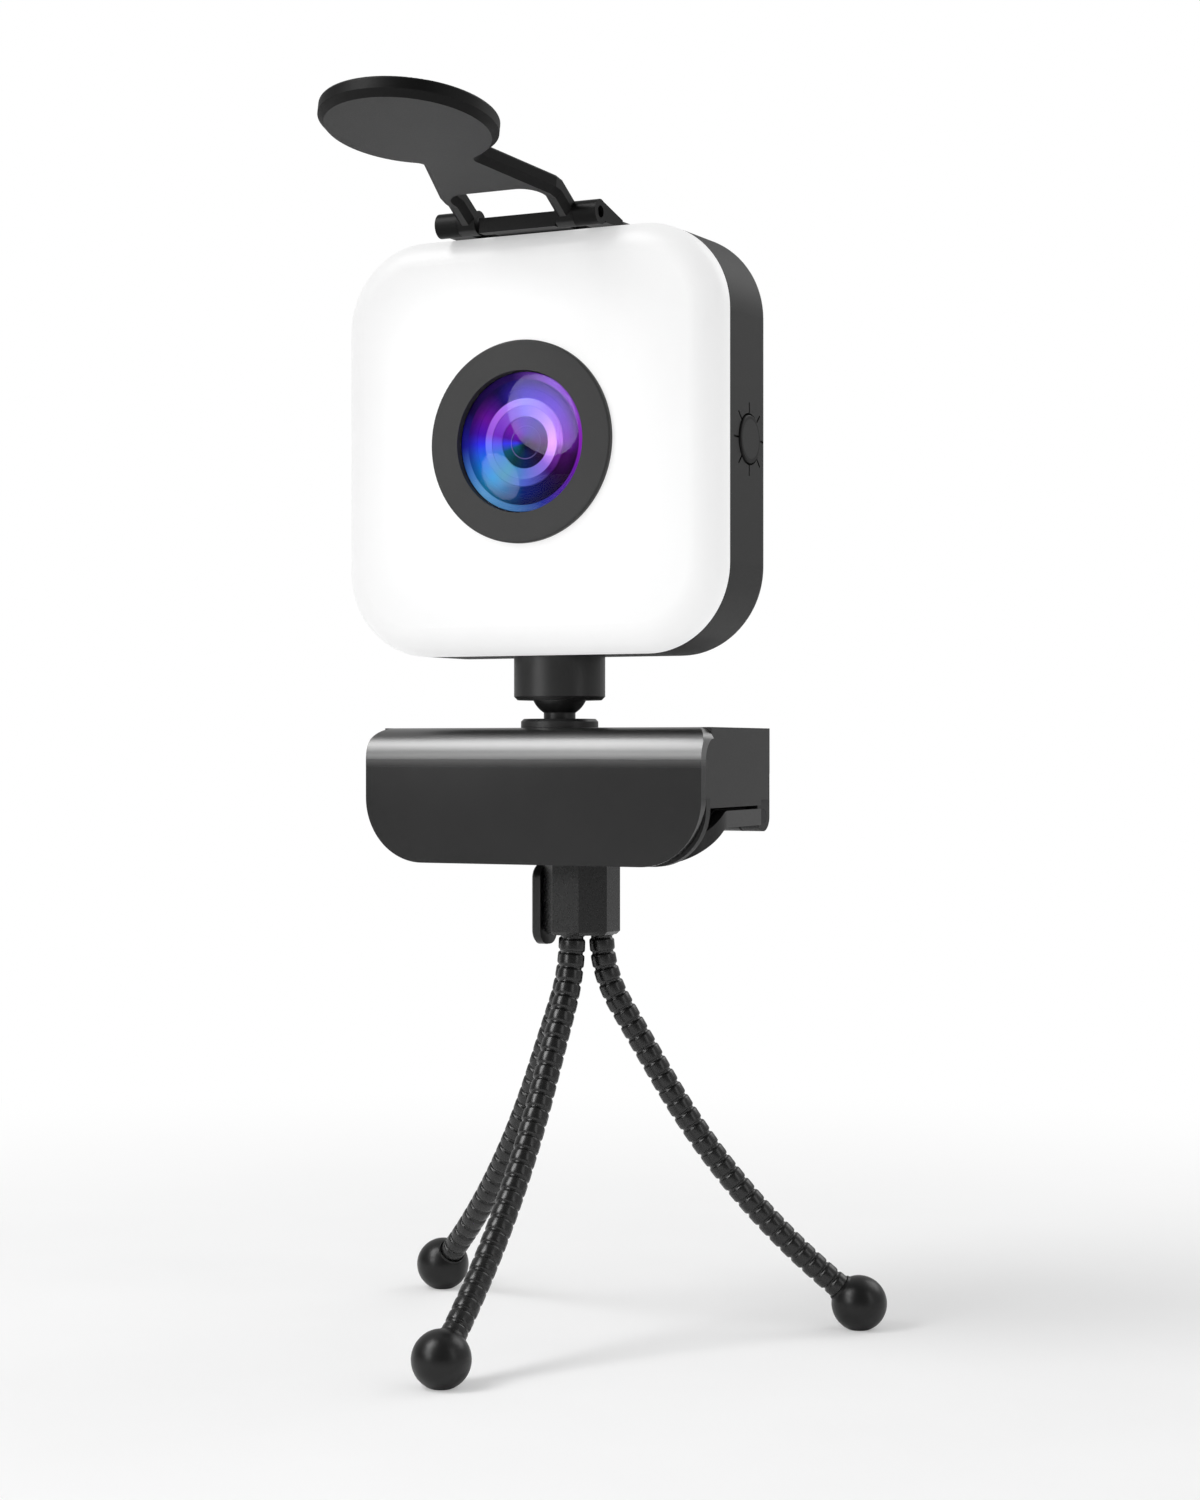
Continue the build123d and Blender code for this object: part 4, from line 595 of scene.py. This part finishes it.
# Light panel: a milky white moulding over the whole front, lit from behind by the light chips.
# It glows evenly from the chips; towards its rounded edges the glow falls off as painted shade, and painted
# light keeps the bottom right edges brighter than the top left ones.
HEAD_HALF = 30.0 * MM
MILKY_TONES = ("#989898", "#9c9c9c")
MILKY_MOTTLE = 120.0
MILKY_GRAIN = 3000.0
MILKY_DEPTH = 0.004 * MM
GLOW = 0.65
PAINTED_EDGE_GLOW = (0.485, 0.605)
EDGE_SHADE_FADE = (0.55, 0.95)
PAINTED_LIGHT_LEAN = (-1.5, 1.5)
window_low, window_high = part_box("lens_window")
LENS = (window_low + window_high) / 2


def grey(level):
    """A grey of this linear brightness."""
    return (level, level, level, 1.0)


milky = Finish("milky", {"Roughness": 0.42, "Specular IOR Level": 0.4, "Emission Strength": 1.0})
across, up = (milky.axis(name, LENS) / HEAD_HALF for name in "XZ")
# Painted shade towards the rounded edges, leaning to painted light at the bottom right
edge = ((across**4 + up**4) ** 0.25).between(*EDGE_SHADE_FADE)
painted_edge_light = milky.mix((across - up).between(*PAINTED_LIGHT_LEAN), *map(grey, PAINTED_EDGE_GLOW))
milky.set({
    "Base Color": milky.mix(milky.noise(MILKY_MOTTLE), *map(colour, MILKY_TONES)),
    "Emission Color": milky.mix(edge, grey(GLOW), painted_edge_light),
})
milky.bump(milky.noise(MILKY_GRAIN), MILKY_DEPTH)
paint(milky.material, "front_diffuser")

# Lens: a black barrel with stepped rings round its coated front glass, pressed into the holder on the board.
# Its coating is a painted reflection, violet on the right, blue on the left and cyan below it, as thin films
# reflect, with a faint painted glow, darkening to near black at the centre, and a painted shadow under the
# bezel's edge.
BARREL_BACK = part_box("lens_barrel")[1].y
REAR_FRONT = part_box("rear_element")[0].y
FRONT_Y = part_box("front_diffuser")[0].y
LENS_SIDES = 96
RINGS_SMOOTH = 25
REAR_R = 4.75 * MM
TAIL_R = 6.0 * MM
BARREL_R = 9.4 * MM
SHOULDER = FRONT_Y + 5.2 * MM
SEAT = FRONT_Y + 1.85 * MM
# Radius of each step, and its depth behind the light panel's front, in millimetres
RING_STEPS = [
    (9.95, 1.85),
    (9.95, 0.27),
    (9.80, 0.23),
    (9.00, 0.40),
    (7.60, 0.60),
    (7.50, 0.67),
    (6.25, 0.75),
    (6.15, 0.67),
    (5.25, 0.73),
    (5.15, 0.83),
    (3.75, 0.95),
    (3.60, 1.10),
    (2.40, 1.20),
    (2.34, 1.13),
    (2.22, 1.13),
    (2.16, 1.23),
    (0.60, 1.30),
    (0.05, 1.31),
]
profile = [
    (REAR_R, REAR_FRONT),
    (REAR_R, BARREL_BACK),
    (TAIL_R, BARREL_BACK),
    (TAIL_R, SHOULDER),
    (BARREL_R, SHOULDER),
    (BARREL_R, SEAT),
] + [(radius * MM, FRONT_Y + depth * MM) for radius, depth in RING_STEPS]
TO_FRONT = Matrix.Rotation(math.radians(90), 4, "X")
fresh()
bpy.ops.mesh.primitive_circle_add(vertices=LENS_SIDES, radius=REAR_R, fill_type="NGON", enter_editmode=True)
pick("EDGE", lambda e: e.is_boundary)
draw_out([(radius, REAR_FRONT - depth) for radius, depth in profile])
bpy.ops.mesh.edge_face_add()
face_out()
rings = settle("lens_rings", RINGS_SMOOTH)
rings.data.transform(Matrix.Translation((LENS.x, REAR_FRONT, LENS.z)) @ TO_FRONT)


def sweep(finish, angle, *stops):
    """A colour by the angle round the lens, from (degrees, colour) stops that start at the right."""
    tones = [(degrees / 360, colour(code)) for degrees, code in stops]
    tones.append((1.0, tones[0][1]))
    return finish.node("ShaderNodeValToRGB", {"stops": tones}, {"Fac": angle}, output="Color")


# Where one colour of the painted reflection and shade gives way to the next, in millimetres from the lens's
# axis
CORE_EDGE = (0.3, 1.6)
LINE_START = (2.16, 2.24)
LINE_END = (2.32, 2.40)
HEART_EDGE = (3.60, 3.72)
BRIGHT_EDGE = (5.15, 5.25)
LAVENDER_EDGE = (6.15, 6.35)
OUTER_FADE = (7.0, 8.9)
RIM_EDGE = (8.85, 8.95)
BEZEL_SHADOW_EDGE = (9.82, 9.90)
OUTER_DARK = 0.6
LINE_SHARE = 0.3
CORE_DARK = 0.75
PAINTED_GLOW = 0.15
COAT_WAVES = 9.0
COAT_SPREAD = 0.1
COAT_ROUGHNESS = 0.4
# Painted reflection of the coating, which also glows faintly as painted light
painted_coating = Finish("painted_coating", {"Specular IOR Level": 0.0, "Emission Strength": PAINTED_GLOW})
across, up = (painted_coating.axis(name, LENS) for name in "XZ")
reach = (across * across + up * up).math("SQRT") / MM
angle = (up.math("ARCTAN2", across) / (2 * math.pi) + 1.0).math("FRACT")
outer = sweep(
    painted_coating, angle,
    (0, "#6a20a0"), (45, "#5a35c0"), (90, "#3a2ab0"), (120, "#1a0f5a"), (150, "#5a108a"), (168, "#4010a0"),
    (180, "#2c2cd8"), (200, "#1a64c8"), (225, "#1c8cc4"), (250, "#0a5080"), (270, "#0a1a60"),
    (300, "#100a40"), (320, "#200530"), (345, "#3a0a50"),
)
bright = sweep(
    painted_coating, angle,
    (0, "#d69aee"), (45, "#a888ee"), (90, "#7c70dc"), (135, "#7840bc"), (165, "#682cb4"), (180, "#5854de"),
    (200, "#3674c4"), (235, "#3488a6"), (270, "#546cbc"), (315, "#8262c8"), (345, "#cc8cee"),
)
lavender = sweep(
    painted_coating, angle,
    (0, "#a860d8"), (45, "#8a68d8"), (90, "#9088ee"), (135, "#a060d8"), (165, "#8a50cc"), (180, "#6a70f0"),
    (205, "#4480c4"), (235, "#34849e"), (270, "#4656b4"), (315, "#3a1060"), (345, "#6a2a90"),
)
heart = sweep(
    painted_coating, angle,
    (0, "#523068"), (60, "#4a409a"), (100, "#5838b0"), (135, "#6a1a9a"), (165, "#4a1590"), (180, "#3434d8"),
    (200, "#0e4a60"), (235, "#0a3038"), (270, "#0a1a4a"), (310, "#1a1030"), (345, "#301838"),
)
rim = sweep(
    painted_coating, angle,
    (0, "#7c20a4"), (60, "#8048c8"), (100, "#241050"), (150, "#180840"), (182, "#1c1c90"), (208, "#3c70b4"),
    (228, "#5690c0"), (262, "#38689e"), (290, "#1c2884"), (335, "#601892"),
)
painted_reflection = painted_coating.mix(reach.between(*HEART_EDGE), heart, bright)
painted_reflection = painted_coating.mix(reach.between(*BRIGHT_EDGE), painted_reflection, lavender)
painted_reflection = painted_coating.mix(reach.between(*LAVENDER_EDGE), painted_reflection, outer)
painted_reflection = painted_coating.mix(reach.between(*OUTER_FADE) * OUTER_DARK, painted_reflection, colour("#050308"))
line = reach.between(*LINE_START) * (1 - reach.between(*LINE_END))
painted_reflection = painted_coating.mix(line * LINE_SHARE, painted_reflection, colour("#9080d0"))
# The centre darkens to near black
core = 1 - reach.between(*CORE_EDGE)
painted_reflection = painted_coating.mix(core * CORE_DARK, painted_reflection, colour("#06040a"))
painted_reflection = painted_coating.mix(reach.between(*RIM_EDGE), painted_reflection, rim)
# Painted shadow: a near-black ring where the bezel's edge shades the glass
painted_reflection = painted_coating.mix(reach.between(*BEZEL_SHADOW_EDGE), painted_reflection, colour("#08080c"))
waves = (reach * COAT_WAVES).math("SINE") * 0.5 + 0.5
# The painted reflection is also the colour of the painted glow
painted_coating.set({
    "Base Color": painted_reflection,
    "Emission Color": painted_reflection,
    "Roughness": waves * COAT_SPREAD + COAT_ROUGHNESS,
})
paint(painted_coating.material, rings)
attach(rings, "head")
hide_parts("lens_barrel", "front_element")

# Lens window: a thin clear dome, pressed into a matte black bezel that is glued to the light panel.
# The glass elements behind it are as clear, and reflect a little more.
GLASS_TINT = "#e0d8ff"
GLASS_ROUGHNESS = 0.02
WINDOW_SHARE = 0.011
ELEMENT_SHARE = 0.08
WINDOW_R = 10.0 * MM
WINDOW_WALL = 0.25 * MM
WINDOW_SMOOTH = 60
DOME_R = 70.0 * MM
DOME_RINGS = 12
DOME_STEP = math.radians(90) / (DOME_RINGS + 0.2)


def clear(name, share):
    """Clear glass: seen through, with this share of the light reflected."""
    tint = colour(GLASS_TINT)
    made = Finish(name, {"Base Color": tint, "Roughness": GLASS_ROUGHNESS})
    through = made.node("ShaderNodeBsdfTransparent", inputs={"Color": WHITE})
    sheen = made.node("ShaderNodeBsdfGlossy", inputs={"Color": tint, "Roughness": GLASS_ROUGHNESS})
    made.show(made.node("ShaderNodeMixShader", inputs={0: share, 1: through, 2: sheen}))
    return made.material


def dome_height(radius):
    """Height of the window's dome at this radius, from the centre of its sphere."""
    return math.sqrt(DOME_R**2 - radius**2)


dome_radii = [WINDOW_R * math.cos(ring * DOME_STEP) for ring in range(DOME_RINGS + 1)]
fresh()
bpy.ops.mesh.primitive_circle_add(vertices=LENS_SIDES, radius=WINDOW_R, enter_editmode=True)
draw_out([(radius, dome_height(radius)) for radius in dome_radii])
bpy.ops.mesh.edge_face_add()
face_out()
window = settle("lens_dome", WINDOW_SMOOTH)
wall = window.modifiers.new("Wall", "SOLIDIFY")
wall.thickness = WINDOW_WALL
wall.offset = -1.0
bpy.ops.object.modifier_apply(modifier="Wall")
dome_rise = DOME_R - dome_height(WINDOW_R)
window.data.transform(Matrix.Translation((LENS.x, window_low.y + dome_rise, LENS.z)) @ TO_FRONT)
paint(clear("window_glass", WINDOW_SHARE), window)
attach(window, "head")
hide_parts("lens_window")
paint(clear("element_glass", ELEMENT_SHARE), "lens_window", "rear_element", "front_element")
bezel_black = moulded(
    "bezel_black", "#353535", roughness=0.55, grain=0.2 * MM, depth=0.012 * MM, specular=0.3
)
paint(bezel_black, "lens_bezel", "lens_barrel")

# Lens cover: a flat disc on a forked arm, moulded in black with grained faces, and its edges darkened with
# painted shade.
# It turns on two steel pins in the knuckles of a bracket, which is pegged and glued to the head's top.
COVER_RAISED = math.radians(11)
COVER_AXIS = Vector((0, math.sin(COVER_RAISED), math.cos(COVER_RAISED)))
COVER_FLAT = (0.75, 0.9)


def cover_edge_shade(finish):
    """Share of painted shade: 1 on the cover's edges and 0 on its flat faces."""
    normal = finish.node("ShaderNodeTexCoord", output="Normal")
    flatness = finish.node(
        "ShaderNodeVectorMath", {"operation": "DOT_PRODUCT"}, {0: normal, 1: COVER_AXIS}, output="Value"
    )
    return 1 - flatness.math("ABSOLUTE").between(*COVER_FLAT)


cover_black = moulded(
    "cover_black", "#363636", roughness=0.5, grain=0.2 * MM, depth=0.012 * MM, specular=0.18, painted_shade=cover_edge_shade
)
paint(cover_black, "lens_cover")
bracket_black = moulded(
    "bracket_black", "#101010", roughness=0.36, grain=0.22 * MM, depth=0.008 * MM, specular=0.1
)
paint(bracket_black, "cover_bracket")
pin_steel = metal("pin_steel", "#3a3a3c", roughness=0.4, grain=0.3 * MM)
paint(pin_steel, "cover_pins", "jaw_hinge_pin")

# Stage: a pale floor that turns white away from the object, a white world, soft lamps and the camera.
# The camera stands level with the clip, a little to the right, as in the photograph.
VIEW_TURN = math.radians(27)
VIEW_DISTANCE = 0.400
VIEW_HEIGHT = 0.0855
VIEW_ASIDE = 0.011
VIEW_LENS = 68.0
VIEW_NEAR = 0.01
FLOOR_SIZE = 8
FLOOR_TONES = ("#eeeeee", "#f4f4f4")
FLOOR_MOTTLE = 30.0
FLOOR_FADE = (0.05, 0.32)
FLOOR_GLOW = 0.32
DAYLIGHT = 0.40
ROOM = 0.17
BACKDROP = 0.33
BACKDROP_EDGE = (-0.3, 0.3)
bpy.context.scene.view_settings.view_transform = "Standard"


def towards(azimuth, elevation, distance):
    """A place at this azimuth and elevation from the lens, azimuth 0 in front and positive to the right."""
    a, e = math.radians(azimuth), math.radians(elevation)
    way = Vector((math.sin(a) * math.cos(e), -math.cos(a) * math.cos(e), math.sin(e)))
    return LENS + way * distance


def softbox(name, place, size, radiance, shape="RECTANGLE", roll=0.0):
    """A lamp of this size and brightness, turned to the lens and rolled about its own axis."""
    lamp = bpy.data.lights.new(name, "AREA")
    lamp.shape = shape
    lamp.size, lamp.size_y = size
    area = lamp.size * lamp.size_y * (math.pi / 4 if shape == "ELLIPSE" else 1)
    lamp.energy = radiance * math.pi * area
    holder = bpy.data.objects.new(name, lamp)
    bpy.context.collection.objects.link(holder)
    holder.location = towards(*place)
    holder.rotation_mode = "QUATERNION"
    facing = (LENS - holder.location).to_track_quat("-Z", "Y")
    holder.rotation_quaternion = facing @ Quaternion((0, 0, 1), math.radians(roll))
    holder.visible_camera = False


softbox("key", place=(-22.6, 12.2, 0.9), size=(0.37, 0.252), radiance=5.6, shape="ELLIPSE", roll=-41)
softbox("fill", place=(-34.7, -2.3, 0.25), size=(0.061, 0.041), radiance=4.2, shape="ELLIPSE", roll=-45)
softbox("window", place=(-44, 51, 0.75), size=(0.32, 0.36), radiance=7.8)
softbox("window_middle", place=(-36, 36.5, 0.75), size=(0.30, 0.06), radiance=6.8)
softbox("window_low", place=(-33, 29, 0.75), size=(0.30, 0.13), radiance=6.0)
softbox("right", place=(80, 20, 0.9), size=(0.22, 0.7), radiance=1.7)
softbox("back", place=(150, 35, 1.0), size=(0.6, 0.6), radiance=2.0)

fresh()
bpy.ops.mesh.primitive_plane_add(size=FLOOR_SIZE, location=(0, 0, 0))
floor = bpy.context.object
floor.name = "floor"
ground = Finish("floor_white", {"Roughness": 0.7, "Specular IOR Level": 0.1})
ground.set({"Base Color": ground.mix(ground.noise(FLOOR_MOTTLE), *map(colour, FLOOR_TONES))})
centre = ground.node("ShaderNodeVectorMath", {"operation": "LENGTH"}, {0: ground.place()}, output="Value")
glow = centre.between(*FLOOR_FADE) * (1 - FLOOR_GLOW) + FLOOR_GLOW
seen = ground.node("ShaderNodeLightPath", output="Is Camera Ray")
shine = ground.node("ShaderNodeEmission", inputs={"Color": WHITE, "Strength": 1.0})
plain = Shade(ground, ground.surface.outputs[0])
ground.show(ground.node("ShaderNodeMixShader", inputs={0: seen * glow, 1: plain, 2: shine}))
floor.data.materials.append(ground.material)


class Sky(Finish):
    """The world's nodes. The camera and glass see white.

    What the object mirrors is a pale wall behind it and a dim room in front.
    """

    def __init__(self):
        self.material = bpy.data.worlds.new("studio")
        bpy.context.scene.world = self.material
        self.material.use_nodes = True
        self.tree = self.material.node_tree
        self.surface = self.tree.nodes["Background"]


sky = Sky()
heading = sky.node("ShaderNodeTexCoord", output="Generated")
behind = sky.node("ShaderNodeSeparateXYZ", inputs={0: heading}, output="Y").between(*BACKDROP_EDGE)
seen, glass, gloss = (
    sky.node("ShaderNodeLightPath", output=f"Is {ray} Ray") for ray in ("Camera", "Transmission", "Glossy")
)
clear_view = seen.math("MAXIMUM", glass)
mirrored = gloss * (1 - clear_view)
plain = (1 - clear_view) * (1 - gloss)
strength = clear_view + mirrored * (behind * BACKDROP + ROOM) + plain * DAYLIGHT
sky.set({"Color": WHITE, "Strength": strength})

view = bpy.data.cameras.new("camera")
view.lens = VIEW_LENS
view.clip_start = VIEW_NEAR
camera = bpy.data.objects.new("camera", view)
bpy.context.collection.objects.link(camera)
camera.location = (
    VIEW_DISTANCE * math.sin(VIEW_TURN) + VIEW_ASIDE * math.cos(VIEW_TURN),
    -VIEW_DISTANCE * math.cos(VIEW_TURN) + VIEW_ASIDE * math.sin(VIEW_TURN),
    VIEW_HEIGHT,
)
camera.rotation_euler = (math.radians(90), 0, VIEW_TURN)
bpy.context.scene.camera = camera
